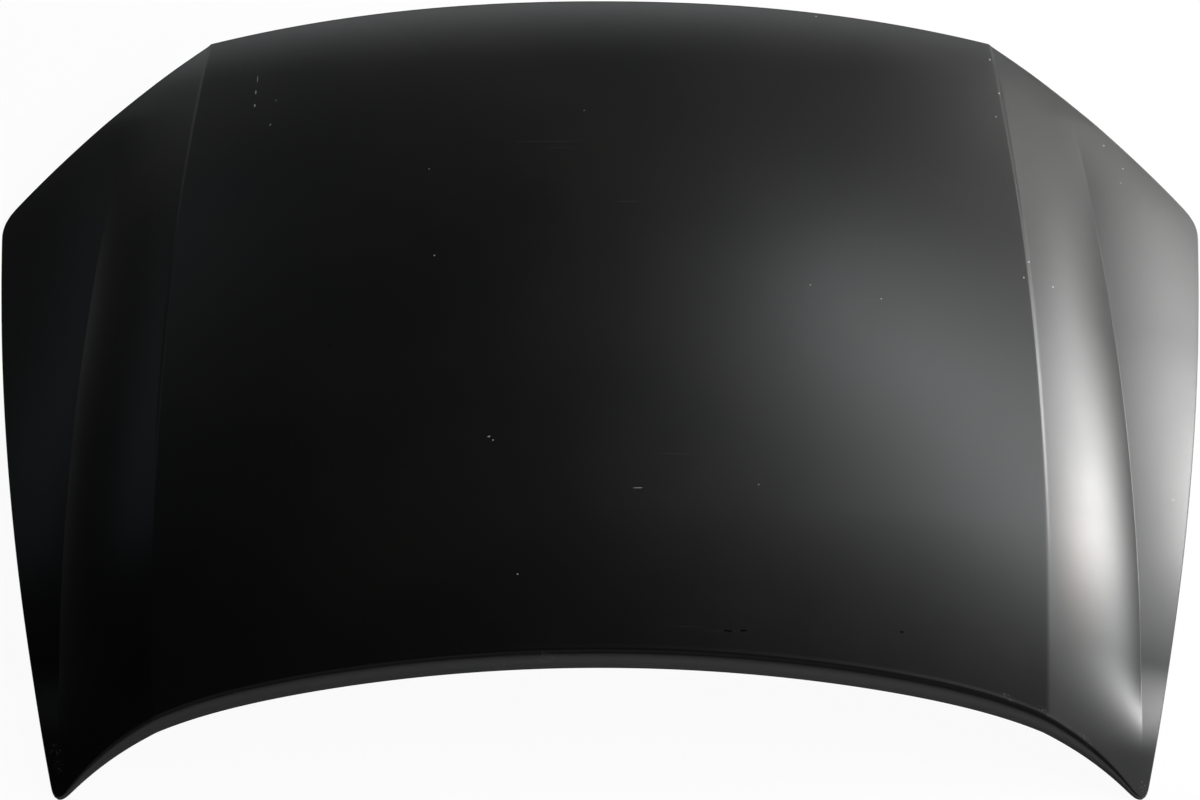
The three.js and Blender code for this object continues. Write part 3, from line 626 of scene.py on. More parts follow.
# %% Frame grid
SIDE_CELLS, END_CELLS = 14, 5
centre_columns = np.linspace(-1, 1, BAY_COLUMNS * BAY_CELLS + 1)
side_columns = 1 + np.linspace(0, 1, SIDE_CELLS + 1)[1:]
frame_columns = np.concatenate([-side_columns[::-1], centre_columns, side_columns])
frame_start = FRAME_INSET / PANEL_LENGTH
bay_rows = np.linspace(BAY_MARGIN, 1 - BAY_MARGIN, BAY_ROWS * BAY_CELLS + 1)
end_rows = np.linspace(frame_start, BAY_MARGIN, END_CELLS + 1)[:-1]
frame_rows = np.concatenate([end_rows, bay_rows, 1 - end_rows[::-1]])
edge_rows = (frame_rows - frame_start) / (1 - 2 * frame_start)
frame_columns = np.broadcast_to(frame_columns, (len(frame_rows), len(frame_columns)))
frame_inner, _ = drawn_in(frame_columns, edge_rows)
frame_outline = Outline(frame_columns, edge_rows, frame_inner, frame_rows)
frame_depth = mixed(RIB_DEPTH, RIM_DEPTH, np.clip(np.abs(frame_inner) - 1, 0, 1))

ribs = Sheet()
rib_points = on_skin(plan(frame_inner, frame_rows[:, None]), frame_depth)
rib_numbers = ribs.add(rib_points).reshape(frame_inner.shape)
is_rib = np.ones((len(frame_rows) - 1, frame_inner.shape[1] - 1), bool)
is_rib[END_CELLS:-END_CELLS, SIDE_CELLS:-SIDE_CELLS] = False
ribs.grid(rib_numbers, is_rib)

inner_edge = loop_of(rib_numbers[..., None])[:, 0]
edge_points = ribs.arrays()[0][inner_edge]
FLANGE_LIFT = SKIN_THICKNESS + HEM_SEAT_GAP + FRAME_THICKNESS
FLANGE_SHARES = (0.06, 0.14, 0.5, 0.8, 0.9, 0.96, 1.0)
FLANGE_INSETS = (11.3, 10.2, 6.5, FRAME_EDGE_INSET)
flange_root = frame_outline.hem(FRAME_FLANGE, FLANGE_LIFT)
previous = inner_edge
for share in FLANGE_SHARES:
    previous = ribs.onward(previous, mixed(edge_points, flange_root, share))
for inset in FLANGE_INSETS:
    previous = ribs.onward(previous, frame_outline.hem(inset, FLANGE_LIFT))
print("frame stations", len(inner_edge))

# %% [markdown]
# Each bay's edge is already in the grid, so the section is swept inwards from there, and every
# new ring is joined to the last one. The pads end in a small grid of their own.

# %% Bays
HOLE_NEAR = SKIN_THICKNESS + FLANGE_STANDOFF
RIB_LEAD = 4.0
PAD_WALL_SHARES = (0.1, 0.35, 0.65, 0.85, 0.95)
hole_section = bent(
    [(HOLE_FLANGE + RIB_WALL + RIB_LEAD, RIB_DEPTH), (HOLE_FLANGE + RIB_WALL, RIB_DEPTH),
     (HOLE_FLANGE, HOLE_NEAR), (0.0, HOLE_NEAR)], BEND_REACH)


def bay_edge_numbers(column, row):
    across = SIDE_CELLS + column * BAY_CELLS
    along = END_CELLS + row * BAY_CELLS
    block = rib_numbers[along:along + BAY_CELLS + 1, across:across + BAY_CELLS + 1]
    return loop_of(block[..., None])[:, 0]


def hole_ring(middle, grow, below):
    half = np.array([HOLE_WIDTH / 2 + grow, HOLE_LENGTH / 2 + grow])
    spots = rounded(bay_round) * half
    return on_skin(bay_plan(middle, spots[:, 0], spots[:, 1]), below)


def add_hole(edge, middle):
    ring = edge
    for grow, below in hole_section:
        ring = ribs.inward(ring, hole_ring(middle, grow, below))


def add_pad(edge, middle, pad):
    cells = np.linspace(-1, 1, BAY_CELLS + 1)
    square = np.stack(np.meshgrid(cells, cells), -1)
    size = np.abs(square).max(-1, keepdims=True)
    half = np.array([pad["width"], pad["length"]]) / 2
    spots = rounded(square / np.maximum(size, TINY)) * size * half
    flat = with_height(spots, np.zeros(spots.shape[:-1]))
    level = placed(pad_frame(middle, pad), flat.reshape(-1, 3))
    rim = loop_of(level.reshape(*spots.shape[:2], 3))
    start = ribs.arrays()[0][edge]
    ring = edge
    for share in PAD_WALL_SHARES:
        height = mixed(start, rim, fade(0, 1, share))[:, 2]
        ring = ribs.inward(ring, with_height(mixed(start, rim, share)[:, :2], height))
    numbers = ribs.add(level).reshape(spots.shape[:2])
    ribs.band(loop_of(numbers[..., None])[:, 0], ring)
    ribs.grid(numbers)


for row in range(BAY_ROWS):
    for column in range(BAY_COLUMNS):
        middle = bay_middle(column, row)
        edge = bay_edge_numbers(column, row)
        if middle in PADS:
            add_pad(edge, middle, PADS[middle])
        else:
            add_hole(edge, middle)
frame_blank = as_mesh("frame_blank", *shell(*ribs.arrays(), FRAME_THICKNESS))

# %% [markdown]
# ## Bolt holes, plates and the striker
# The bolt holes are drilled after pressing, so here they are cut with a Boolean modifier. The
# reinforcement plates are blanked from flat sheet: a filled 2-D curve gives the blank, with its
# holes, thickness and small edge radius in one object. The striker is bent round wire, which a
# curve with a round bevel makes directly.

# %% Blanks and wire
BOLT_SPACING, BOLT_RADIUS = 56.0, 4.5
PLATE_CORNER, PLATE_INSET, EDGE_ROUND = 8.0, 8.0, 0.35
HINGE_PLATE_THICKNESS, LATCH_PLATE_THICKNESS, STRIKER_THICKNESS = 2.5, 2.0, 2.5
STRIKER_SIZE, STRIKER_HOLE_RADIUS = (84.0, 40.0), 4.6
WIRE_RADIUS, STRIKER_HALF_WIDTH, STRIKER_DROP = 4.0, 20.0, 42.0
STAND_OFF = 0.3
ROUND_STEPS, CORNER_STEPS, WIRE_STEPS = 32, 8, 24


def closed_spline(curve, points):
    spline = curve.splines.new("POLY")
    spline.points.add(len(points) - 1)
    for spot, (x, y) in zip(spline.points, points):
        spot.co = (x * MM, y * MM, 0, 1)
    spline.use_cyclic_u = True


def round_points(x, y, radius, count=ROUND_STEPS, first=0.0, last=2 * math.pi):
    turns = [mixed(first, last, k / count) for k in range(count)]
    return [(x + radius * math.cos(turn), y + radius * math.sin(turn)) for turn in turns]


def plate_outline(width, length):
    x, y, quarter = width / 2 - PLATE_CORNER, length / 2 - PLATE_CORNER, math.pi / 2
    points = []
    for k, (cx, cy) in enumerate([(x, y), (-x, y), (-x, -y), (x, -y)]):
        points += round_points(cx, cy, PLATE_CORNER, CORNER_STEPS, k * quarter, (k + 1) * quarter)
        points.append((cx + PLATE_CORNER * round(math.cos((k + 1) * quarter)),
                       cy + PLATE_CORNER * round(math.sin((k + 1) * quarter))))
    return points


def curve_to_piece(name, curve, seat, height):
    """Turns a curve into a mesh, then moves its points to a place in a pad's frame."""
    maker = new_object(name, curve)
    mesh = baked_mesh(maker)
    bpy.data.objects.remove(maker)
    mesh.transform(in_metres(seat) @ Matrix.Translation((0, 0, height * MM)))
    smoothed(mesh, BLANK_BEND)
    mesh.name = name
    print(name, len(mesh.polygons), "faces")
    return new_object(name, mesh)


def plate_size(pad):
    return pad["width"] - 2 * PLATE_INSET, pad["length"] - 2 * PLATE_INSET


def blank(name, size, thickness, seat, height, holes=()):
    curve = bpy.data.curves.new(name, "CURVE")
    curve.dimensions, curve.fill_mode = "2D", "BOTH"
    curve.extrude = (thickness / 2 - EDGE_ROUND) * MM
    curve.bevel_depth, curve.bevel_resolution = EDGE_ROUND * MM, 2
    curve.offset = -EDGE_ROUND * MM
    closed_spline(curve, plate_outline(*size))
    for x, y, radius in holes:
        closed_spline(curve, round_points(x, y, radius))
    return curve_to_piece(name, curve, seat, height + thickness / 2)


hinge_bolts = [(0.0, side * BOLT_SPACING / 2) for side in (-1, 1)]
hinge_holes = [(x, y, BOLT_RADIUS) for x, y in hinge_bolts]
hinge_plates = {}
for side, bay in HINGE_BAYS.items():
    hinge_plates[side] = blank("hinge_plate_fine_" + side, plate_size(HINGE_PAD), HINGE_PLATE_THICKNESS,
                               pad_frame(bay, HINGE_PAD), STAND_OFF, hinge_holes)

latch_frame = pad_frame(LATCH_BAY, LATCH_PAD)
wire_reach = STRIKER_HALF_WIDTH - WIRE_RADIUS
striker_bottom = -FRAME_THICKNESS - STAND_OFF - STRIKER_THICKNESS
wire_holes = [(side * wire_reach, 0.0, STRIKER_HOLE_RADIUS) for side in (-1, 1)]
latch_plate = blank("latch_plate_fine", plate_size(LATCH_PAD), LATCH_PLATE_THICKNESS, latch_frame, STAND_OFF)
striker_plate = blank("striker_plate_fine", STRIKER_SIZE, STRIKER_THICKNESS, latch_frame, striker_bottom,
                      wire_holes)


def striker_wire():
    curve = bpy.data.curves.new("striker_loop_fine", "CURVE")
    curve.dimensions = "3D"
    curve.bevel_depth, curve.bevel_resolution = WIRE_RADIUS * MM, 8
    curve.use_fill_caps = True
    bend_z = -(STRIKER_DROP - WIRE_RADIUS - wire_reach)
    turns = [math.pi * k / WIRE_STEPS for k in range(WIRE_STEPS + 1)]
    path = [(-wire_reach, STRIKER_THICKNESS)]
    path += [(-wire_reach * math.cos(turn), bend_z - wire_reach * math.sin(turn)) for turn in turns]
    path.append((wire_reach, STRIKER_THICKNESS))
    spline = curve.splines.new("POLY")
    spline.points.add(len(path) - 1)
    for spot, (x, z) in zip(spline.points, path):
        spot.co = (x * MM, 0, z * MM, 1)
    return curve_to_piece("striker_loop_fine", curve, latch_frame, striker_bottom)


striker_loop = striker_wire()


# %% Drill the bolt holes
DRILL_LENGTH = 6.0


def drilled(blank_piece, name):
    drill = bmesh.new()
    for bay in HINGE_BAYS.values():
        there = in_metres(pad_frame(bay, HINGE_PAD))
        for x, y in hinge_bolts:
            place = there @ Matrix.Translation((x * MM, y * MM, 0))
            bmesh.ops.create_cone(drill, cap_ends=True, segments=ROUND_STEPS, radius1=BOLT_RADIUS * MM,
                                  radius2=BOLT_RADIUS * MM, depth=DRILL_LENGTH * MM, matrix=place)
    mesh = bpy.data.meshes.new("drill")
    drill.to_mesh(mesh)
    drill.free()
    tool = new_object("drill", mesh)
    cut = blank_piece.modifiers.new("bolt_holes", "BOOLEAN")
    cut.operation, cut.solver, cut.object = "DIFFERENCE", "EXACT", tool
    result = baked_mesh(blank_piece)
    for used in (blank_piece, tool):
        bpy.data.objects.remove(used)
    print(name, len(result.polygons), "faces after drilling")
    return new_object(name, result)


inner_frame = drilled(frame_blank, "inner_frame_fine")

# %% [markdown]
# ## A small language for materials
# A material is a graph of nodes. Arithmetic reads better as arithmetic, so `Wire` wraps a
# socket and turns +, - and * on it into Math nodes. `Finish` holds one material and has one
# method, `add`, for every other kind of node: its settings first, then what goes into its sockets.

# %% Wires and finishes
FAR_ABOVE = 100.0


class Wire:
    """A number or colour that flows through a material."""

    def __init__(self, finish, socket):
        self.finish, self.socket = finish, socket

    def maths(self, operation, *values):
        return self.finish.add("ShaderNodeMath", {"operation": operation}, dict(enumerate(values)))

    def __add__(self, other):
        return self.maths("ADD", self, other)

    def __sub__(self, other):
        return self.maths("SUBTRACT", self, other)

    def __rsub__(self, other):
        return self.maths("SUBTRACT", other, self)

    def __mul__(self, other):
        return self.maths("MULTIPLY", self, other)

    __radd__ = __add__
    __rmul__ = __mul__

    def clamped(self):
        return self.finish.add("ShaderNodeClamp", {}, {0: self})


class Finish:
    """One material, or the world, with its shader and one method that adds any node."""

    def __init__(self, name, world=None, **plain):
        self.material = world or bpy.data.materials.new(name)
        self.material.use_nodes = True
        self.nodes = self.material.node_tree.nodes
        self.links = self.material.node_tree.links
        self.shader = self.nodes["Background" if world else "Principled BSDF"]
        for socket, value in plain.items():
            self.shader.inputs[socket.replace("_", " ")].default_value = value

    def add(self, kind, settings, sockets, output=0):
        node = self.nodes.new(kind)
        for name, value in settings.items():
            setattr(node, name, value)
        for name, value in sockets.items():
            self.feed(node.inputs[name], value)
        return Wire(self, node.outputs[output])

    def feed(self, socket, value):
        if isinstance(value, Wire):
            self.links.new(value.socket, socket)
        else:
            socket.default_value = value

    def colour(self, share, first, second):
        sockets = {0: share, 6: first, 7: second}
        return self.add("ShaderNodeMix", {"data_type": "RGBA"}, sockets, output=2)

    def place(self):
        return self.add("ShaderNodeTexCoord", {}, {}, output="Object")

    def noise(self, place, scale, detail=3.0, roughness=0.5):
        sockets = {"Vector": place, "Scale": scale, "Detail": detail, "Roughness": roughness}
        return self.add("ShaderNodeTexNoise", {}, sockets)

    def mark(self, place, x, y, length, width, turn=0.0, core=0.55):
        """1 inside an ellipse on the panel, placed in millimetres, and 0 outside it."""
        settings = {"vector_type": "TEXTURE"}
        sockets = {
            "Vector": place,
            "Location": ((x + SHIFT[0]) * MM, (y + SHIFT[1]) * MM, 0.0),
            "Rotation": (0.0, 0.0, math.radians(turn)),
            "Scale": (length / 2 * MM, width / 2 * MM, FAR_ABOVE),
        }
        near = self.add("ShaderNodeMapping", settings, sockets)
        length_of = {"operation": "LENGTH"}
        distance = self.add("ShaderNodeVectorMath", length_of, {0: near}, output="Value")
        return 1 - self.step(distance, core, 1.0)

    def marks(self, place, places):
        total = self.mark(place, *places[0])
        for spot in places[1:]:
            total = total.maths("MAXIMUM", total, self.mark(place, *spot))
        return total

    def step(self, value, low, high):
        settings = {"interpolation_type": "SMOOTHSTEP"}
        sockets = {"Value": value, "From Min": low, "From Max": high}
        return self.add("ShaderNodeMapRange", settings, sockets)

    def finish(self, colour, roughness, height, distance):
        self.feed(self.shader.inputs["Base Color"], colour)
        self.feed(self.shader.inputs["Roughness"], roughness)
        sockets = {"Height": height, "Distance": distance}
        bump = self.add("ShaderNodeBump", {}, sockets)
        self.feed(self.shader.inputs["Normal"], bump)
        return self.material


# %% [markdown]
# ## Dip primer
# E-coat is electrically deposited, so it is thin, even and near black, with a faint orange peel
# and a satin shine. The base colour barely matters; the roughness decides the whole look.
# Slow noise varies the shine a little, fine noise gives the peel, and tiny pale dots are dust.

# %% Outer and inner finish
PRIMER = (0.0014, 0.0014, 0.0016, 1.0)
PRIMER_WARM = (0.0024, 0.0021, 0.0018, 1.0)
DUST = (0.16, 0.155, 0.15, 1.0)
BARE_EDGE = (0.42, 0.41, 0.40, 1.0)
CLOUD_SCALE, HAZE_SCALE, GRAIN_SCALE, DUST_SCALE, CRUMB_SCALE = 5.0, 34.0, 900.0, 75.0, 420.0
DUST_SIZE, DUST_SHARE, DUST_STRENGTH = 0.045, 0.10, 0.4
PEEL_DEPTH = 0.00008


def dust_mask(coat, place, scale, size, share):
    cells = {"feature": "F1"}, {"Vector": place, "Scale": scale}
    distance = coat.add("ShaderNodeTexVoronoi", *cells, output="Distance")
    chosen = coat.add("ShaderNodeTexVoronoi", *cells, output="Color")
    dot = 1 - coat.step(distance, size * 0.5, size)
    return dot * coat.step(chosen, 1 - share, 1 - share * 0.8)


# %% [markdown]
# A bare spare panel picks up small damage in the store. Each mark here is a tiny ellipse at its
# real place in millimetres: pale nicks and hairline scratches where the primer is cut, pale
# scuffs on the nose, and spots that were rubbed smooth, which reflect the dark room and look
# darker. One wide, faint brown patch is a painted highlight tint, which warms the highlight on
# the right shoulder. A painted texture would do the same job; ellipses stay sharp at any size and
# need no picture. Each row is x, y, length, width and turn in degrees. The places were read in
# the photograph by eye, and another program turned them into millimetres.

# %% Marks on the outer skin
NICKS = [
    (-440, 436, 0.8, 16), (-441, 411, 1.6, 9), (-441, 386, 2.0, 7), (-414, 392, 4.0, 1.4, 80),
    (-419, 348, 5.0, 1.6, 70),
    (-214, 251, 2.2, 1.8), (-20, 347, 3.0, 1.6, 60), (-204, 108, 2.4, 2.0), (-133, -163, 5.0, 2.0, 20),
    (-128, -168, 2.6, 1.8), (-97, -346, 2.4, 2.0), (45, -235, 14.0, 1.0, 2), (189, -227, 2.4, 1.8),
    (281, 546, 3.0, 2.0), (258, 65, 2.2, 2.0), (345, 50, 2.2, 2.0), (505, 485, 2.4, 5.0),
    (513, 420, 2.2, 4.0), (506, 375, 2.4, 3.0), (525, 103, 2.0, 4.0), (533, 130, 2.0, 3.0),
    (562, 98, 2.4, 2.4),
]
RUBS = [
    (150, -414, 14.0, 3.2, -4), (168, -413, 10.0, 2.6, 6), (355, -406, 5.0, 2.4), (647, 363, 4.0, 3.0),
    (670, 329, 3.4, 3.0), (665, 303, 3.0, 2.6), (698, -177, 3.4, 3.0), (-330, -20, 3.0, 2.2),
]
SCUFFS = [
    (-120, -452, 46.0, 12.0, 3), (-62, -443, 30.0, 9.0), (-525, -517, 34.0, 14.0, 38),
    (-644, -510, 16.0, 22.0, 60), (-639, -530, 16.0, 18.0, 40), (479, -473, 22.0, 10.0, -30),
    (520, -485, 24.0, 9.0, -38), (572, -512, 26.0, 10.0, -48), (639, -552, 12.0, 16.0),
]
# Painted highlight tint: a faint brown patch that warms the highlight on the right shoulder.
PAINTED_WARM_HIGHLIGHT = (575, -285, 300, 90, 91)
PAINTED_HIGHLIGHT_BROWN = (0.032, 0.020, 0.013, 1.0)
HAIRLINE_TURN, HAIRLINE_STRETCH = math.radians(8), (7.0, 420.0, 7.0)


def hairlines(coat, place):
    """Long faint scratches: thin bands of a stretched noise."""
    sockets = {"Vector": place, "Rotation": (0, 0, HAIRLINE_TURN), "Scale": HAIRLINE_STRETCH}
    stretched = coat.add("ShaderNodeMapping", {"vector_type": "POINT"}, sockets)
    lines = coat.noise(stretched, 1.0, 1.0)
    patches = coat.step(coat.noise(place, 6.0, 1.0), 0.52, 0.68)
    return coat.step(lines, 0.70, 0.78) * patches


def primer(name, gloss, gloss_swing, peel, marked=False):
    coat = Finish(name, IOR=1.5)
    place = coat.place()
    cloud = coat.noise(place, CLOUD_SCALE, 2.0)
    haze = coat.noise(place, HAZE_SCALE, 4.0, 0.6)
    grain = coat.noise(place, GRAIN_SCALE, 2.0)
    dust = dust_mask(coat, place, DUST_SCALE, DUST_SIZE, DUST_SHARE) * DUST_STRENGTH
    colour = coat.colour(coat.step(cloud, 0.35, 0.7), PRIMER, PRIMER_WARM)
    colour = coat.colour(dust, colour, DUST)
    roughness = (cloud - 0.5) * gloss_swing + (haze - 0.5) * gloss_swing * 0.5 + gloss
    roughness = roughness + dust * 0.3
    height = haze * 0.4 + grain * peel
    if marked:
        nicks = coat.marks(place, NICKS)
        crumbs = coat.step(coat.noise(place, CRUMB_SCALE, 3.0, 0.7), 0.56, 0.66)
        scuffs = coat.marks(place, SCUFFS) * crumbs
        rubs = coat.marks(place, RUBS)
        lines = hairlines(coat, place)
        # Painted warm tint of the shoulder highlight, mixed into the colour.
        painted_highlight_tint = coat.mark(place, *PAINTED_WARM_HIGHLIGHT, core=0.0) * coat.step(cloud, 0.1, 0.7)
        colour = coat.colour(painted_highlight_tint, colour, PAINTED_HIGHLIGHT_BROWN)
        colour = coat.colour(nicks * 0.8, colour, BARE_EDGE)
        colour = coat.colour(scuffs * 0.6 + lines * 0.05, colour, DUST)
        roughness = roughness - rubs * 0.24 + scuffs * 0.25 + lines * 0.08
    return coat.finish(colour, roughness.clamped(), height, PEEL_DEPTH)


skin_coat = primer("primer_outer", 0.34, 0.05, 0.30, marked=True)
frame_coat = primer("primer_inner", 0.52, 0.08, 0.60)
wire_coat = primer("primer_wire", 0.44, 0.06, 0.40)


MASTIC_DARK, MASTIC_PALE = (0.034, 0.033, 0.031, 1.0), (0.075, 0.072, 0.068, 1.0)
LUMP_SCALE, LUMP_DEPTH = 160.0, 0.0006


def sealant():
    paste = Finish("mastic")
    lumps = paste.noise(paste.place(), LUMP_SCALE, 4.0, 0.6)
    colour = paste.colour(lumps, MASTIC_DARK, MASTIC_PALE)
    return paste.finish(colour, 0.78 + lumps * 0.14, lumps, LUMP_DEPTH)


mastic = sealant()
print("finishes:", [m.name for m in (skin_coat, frame_coat, wire_coat, mastic)])

# %% Give every CAD node its finish
SLOT_FINISH = {"e_coat_outer": skin_coat, "e_coat_inner": frame_coat,
               "e_coat_striker": wire_coat, "mastic": mastic}
for part in frame["record"]["subparts"]:
    node = frame["nodes"][part["node"]]
    node.data.materials.clear()
    node.data.materials.append(SLOT_FINISH[part["material_slot"]])


def fitted(piece, slot, *nodes):
    """Hangs a finished piece on the root body, gives it its finish if it has none, and hides the CAD nodes
    it stands for.
    """
    if not piece.data.materials:
        piece.data.materials.append(SLOT_FINISH[slot])
    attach(piece, "root")
    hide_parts(*nodes)


fitted(outer_skin, "e_coat_outer", "outer_skin")
fitted(inner_frame, "e_coat_inner", "inner_frame")
for side, piece in hinge_plates.items():
    fitted(piece, "e_coat_inner", "hinge_plate_" + side)
fitted(latch_plate, "e_coat_inner", "latch_plate")
fitted(striker_plate, "e_coat_inner", "striker_plate")
fitted(striker_loop, "e_coat_striker", "striker_loop")

# %% [markdown]
# ## Weld nuts and mastic beads
# Four nuts and seventeen dabs of mastic repeat along the frame, each tilted with the sheet. A
# Geometry Nodes tree draws one, sets a copy on every vertex of a small mesh of places, and turns
# it to the normal stored there. Doing it with copied objects would need twenty-one objects to
# keep in step; here one size changes them all.

# %% Places to fix things
def places_mesh(name, seats):
    """A vertex at each seat's origin, with the seat's third direction stored beside it."""
    mesh = bpy.data.meshes.new(name)
    mesh.from_pydata([tuple((seat.translation + Vector(SHIFT)) * MM) for seat in seats], [], [])
    lean = mesh.attributes.new("lean", "FLOAT_VECTOR", "POINT")
    for value, seat in zip(lean.data, seats):
        value.vector = seat.col[2].to_3d()
    return new_object(name, mesh)


class Tree:
    """A Geometry Nodes tree, with named inputs, that sets one shape on every vertex."""

    def __init__(self, name, **sizes):
        self.group = bpy.data.node_groups.new(name, "GeometryNodeTree")
        self.group.is_modifier = True
        face = self.group.interface
        face.new_socket("Geometry", in_out="INPUT", socket_type="NodeSocketGeometry")
        face.new_socket("Geometry", in_out="OUTPUT", socket_type="NodeSocketGeometry")
        self.sizes = {}
        for label, value in sizes.items():
            socket = face.new_socket(label, in_out="INPUT", socket_type="NodeSocketFloat")
            self.sizes[socket.identifier] = value
        self.inputs = self.group.nodes.new("NodeGroupInput")

    def add(self, kind, settings=None, **sockets):
        node = self.group.nodes.new(kind)
        for name, value in (settings or {}).items():
            setattr(node, name, value)
        for name, value in sockets.items():
            self.feed(node, name.replace("_", " "), value)
        return node

    def feed(self, node, name, value):
        socket = node.inputs[name]
        values = value if isinstance(value, list) else [value]
        for item in values:
            if isinstance(item, bpy.types.NodeSocket):
                self.group.links.new(item, socket)
            else:
                socket.default_value = item

    def size(self, label):
        return self.inputs.outputs[label]

    def on_every_vertex(self, shape, piece, material, after=None):
        lean = self.add("GeometryNodeInputNamedAttribute", {"data_type": "FLOAT_VECTOR"}, Name="lean")
        turn = self.add("FunctionNodeAlignRotationToVector", {"axis": "Z"}, Vector=lean.outputs["Attribute"])
        copies = self.add("GeometryNodeInstanceOnPoints", Points=self.inputs.outputs["Geometry"],
                          Instance=shape, Rotation=turn.outputs["Rotation"])
        plain = self.add("GeometryNodeRealizeInstances", Geometry=copies.outputs["Instances"])
        result = after(plain.outputs["Geometry"]) if after else plain.outputs["Geometry"]
        coated = self.add("GeometryNodeSetMaterial", Geometry=result, Material=material)
        self.add("NodeGroupOutput", Geometry=coated.outputs["Geometry"])
        modifier = piece.modifiers.new("set_on", "NODES")
        modifier.node_group = self.group
        for identifier, value in self.sizes.items():
            modifier[identifier] = value
        mesh = baked_mesh(piece)
        smoothed(mesh, SMALL_BEND)
        piece.modifiers.remove(modifier)
        piece.data = mesh
        print(piece.name, len(mesh.polygons), "faces")
        return piece


# %% Weld nuts
NUT_RADIUS, NUT_BORE, NUT_HEIGHT = 7.5, 4.0, 6.5
NUT_SIDES, BORE_SIDES, MERGE_DISTANCE = 6, 24, 1e-5


def nut_solid(tree):
    outside = tree.add("GeometryNodeCurvePrimitiveCircle", Resolution=NUT_SIDES, Radius=tree.size("Radius"))
    bore = tree.add("GeometryNodeCurvePrimitiveCircle", Resolution=BORE_SIDES, Radius=tree.size("Bore"))
    both = tree.add("GeometryNodeJoinGeometry",
                    Geometry=[bore.outputs["Curve"], outside.outputs["Curve"]])
    face = tree.add("GeometryNodeFillCurve", Curve=both.outputs["Geometry"])
    up = tree.add("ShaderNodeCombineXYZ", Z=tree.size("Height"))
    lifted = tree.add("GeometryNodeExtrudeMesh", {"mode": "FACES"}, Mesh=face.outputs["Mesh"],
                      Offset=up.outputs["Vector"], Individual=False)
    under = tree.add("GeometryNodeFlipFaces", Mesh=face.outputs["Mesh"])
    closed = tree.add("GeometryNodeJoinGeometry",
                      Geometry=[under.outputs["Mesh"], lifted.outputs["Mesh"]])
    return tree.add("GeometryNodeMergeByDistance", Geometry=closed.outputs["Geometry"],
                    Distance=MERGE_DISTANCE).outputs["Geometry"]


nut_frames = []
for bay in HINGE_BAYS.values():
    for x, y in hinge_bolts:
        lift = Matrix.Translation((x, y, STAND_OFF * 2 + HINGE_PLATE_THICKNESS))
        nut_frames.append(pad_frame(bay, HINGE_PAD) @ lift)
nut_tree = Tree("weld_nuts", Radius=NUT_RADIUS * MM, Bore=NUT_BORE * MM, Height=NUT_HEIGHT * MM)
weld_nuts = nut_tree.on_every_vertex(
    nut_solid(nut_tree), places_mesh("weld_nuts_fine", nut_frames), frame_coat)
fitted(weld_nuts, "e_coat_inner",
       "hinge_nut_left_1", "hinge_nut_left_2", "hinge_nut_right_1", "hinge_nut_right_2")

# %% Mastic beads
BEAD_WIDTH, BEAD_LENGTH, BEAD_HEIGHT = 34.0, 10.0, 3.0
BEAD_SEGMENTS, BEAD_RINGS = 28, 14
UNEVEN_SCALE, UNEVEN_BY = 120.0, (0.004, 0.004, 0.0005)


def bead_shape(tree):
    ball = tree.add("GeometryNodeMeshUVSphere", Segments=BEAD_SEGMENTS, Rings=BEAD_RINGS, Radius=1.0)
    size = tree.add("ShaderNodeCombineXYZ", X=tree.size("Half width"), Y=tree.size("Half length"),
                    Z=tree.size("Half height"))
    middle = tree.add("ShaderNodeCombineXYZ", Z=tree.size("Half height"))
    return tree.add("GeometryNodeTransform", Geometry=ball.outputs["Mesh"],
                    Scale=size.outputs["Vector"], Translation=middle.outputs["Vector"]).outputs["Geometry"]


def hand_laid(tree):
    """Gives every dab its own slightly uneven edge."""
    def uneven(geometry):
        noise = tree.add("ShaderNodeTexNoise", Scale=UNEVEN_SCALE, Detail=2.0)
        centred = tree.add("ShaderNodeVectorMath", {"operation": "SUBTRACT"})
        tree.feed(centred, 0, noise.outputs["Color"])
        tree.feed(centred, 1, (0.5, 0.5, 0.5))
        offset = tree.add("ShaderNodeVectorMath", {"operation": "MULTIPLY"})
        tree.feed(offset, 0, centred.outputs["Vector"])
        tree.feed(offset, 1, UNEVEN_BY)
        return tree.add("GeometryNodeSetPosition", Geometry=geometry,
                        Offset=offset.outputs["Vector"]).outputs["Geometry"]
    return uneven


bead_frames = []
for middle in [bay for bay in ALL_BAYS if bay not in PADS]:
    side = 1 if middle[1] < 0.5 else -1
    spot = bay_plan(middle, 0.0, side * (HOLE_LENGTH + HOLE_FLANGE) / 2)
    bead_frames.append(sloped_frame(on_skin(spot, SKIN_THICKNESS + FLANGE_STANDOFF - STAND_OFF)))
bead_sizes = {"Half width": BEAD_WIDTH / 2 * MM, "Half length": BEAD_LENGTH / 2 * MM,
              "Half height": BEAD_HEIGHT / 2 * MM}
bead_tree = Tree("mastic_beads", **bead_sizes)
beads = bead_tree.on_every_vertex(
    bead_shape(bead_tree), places_mesh("mastic_beads_fine", bead_frames), mastic, hand_laid(bead_tree))
fitted(beads, "mastic", *["mastic_bead_%02d" % (k + 1) for k in range(len(bead_frames))])

# %% [markdown]
# ## Studio
# The photograph has a white surround and large soft lamps on the right and behind. The floor is
# one big plain sheet. It glows white to the camera, but the panel mirrors only a small share of
# that white, because the nose lip in the photograph is dark. The world is white to the camera
# and through clear things. For the panel it is white near and below the horizon, darker towards
# the left, and nearly black above, as a dark room is. All this is chosen by the kind of ray.

# %% Floor
FLOOR_SIZE = 30.0
FLOOR_GREY = (0.86, 0.86, 0.86, 1.0)
FLOOR_DROP = 0.0005
WHITE_SHARE = 0.95
MIRRORED_SHARE = 0.12


def rays(finish, *kinds):
    """One wire for each kind of ray: 1 where the ray is of that kind, and 0 where it isn't."""
    return [finish.add("ShaderNodeLightPath", {}, {}, output=f"Is {kind} Ray") for kind in kinds]


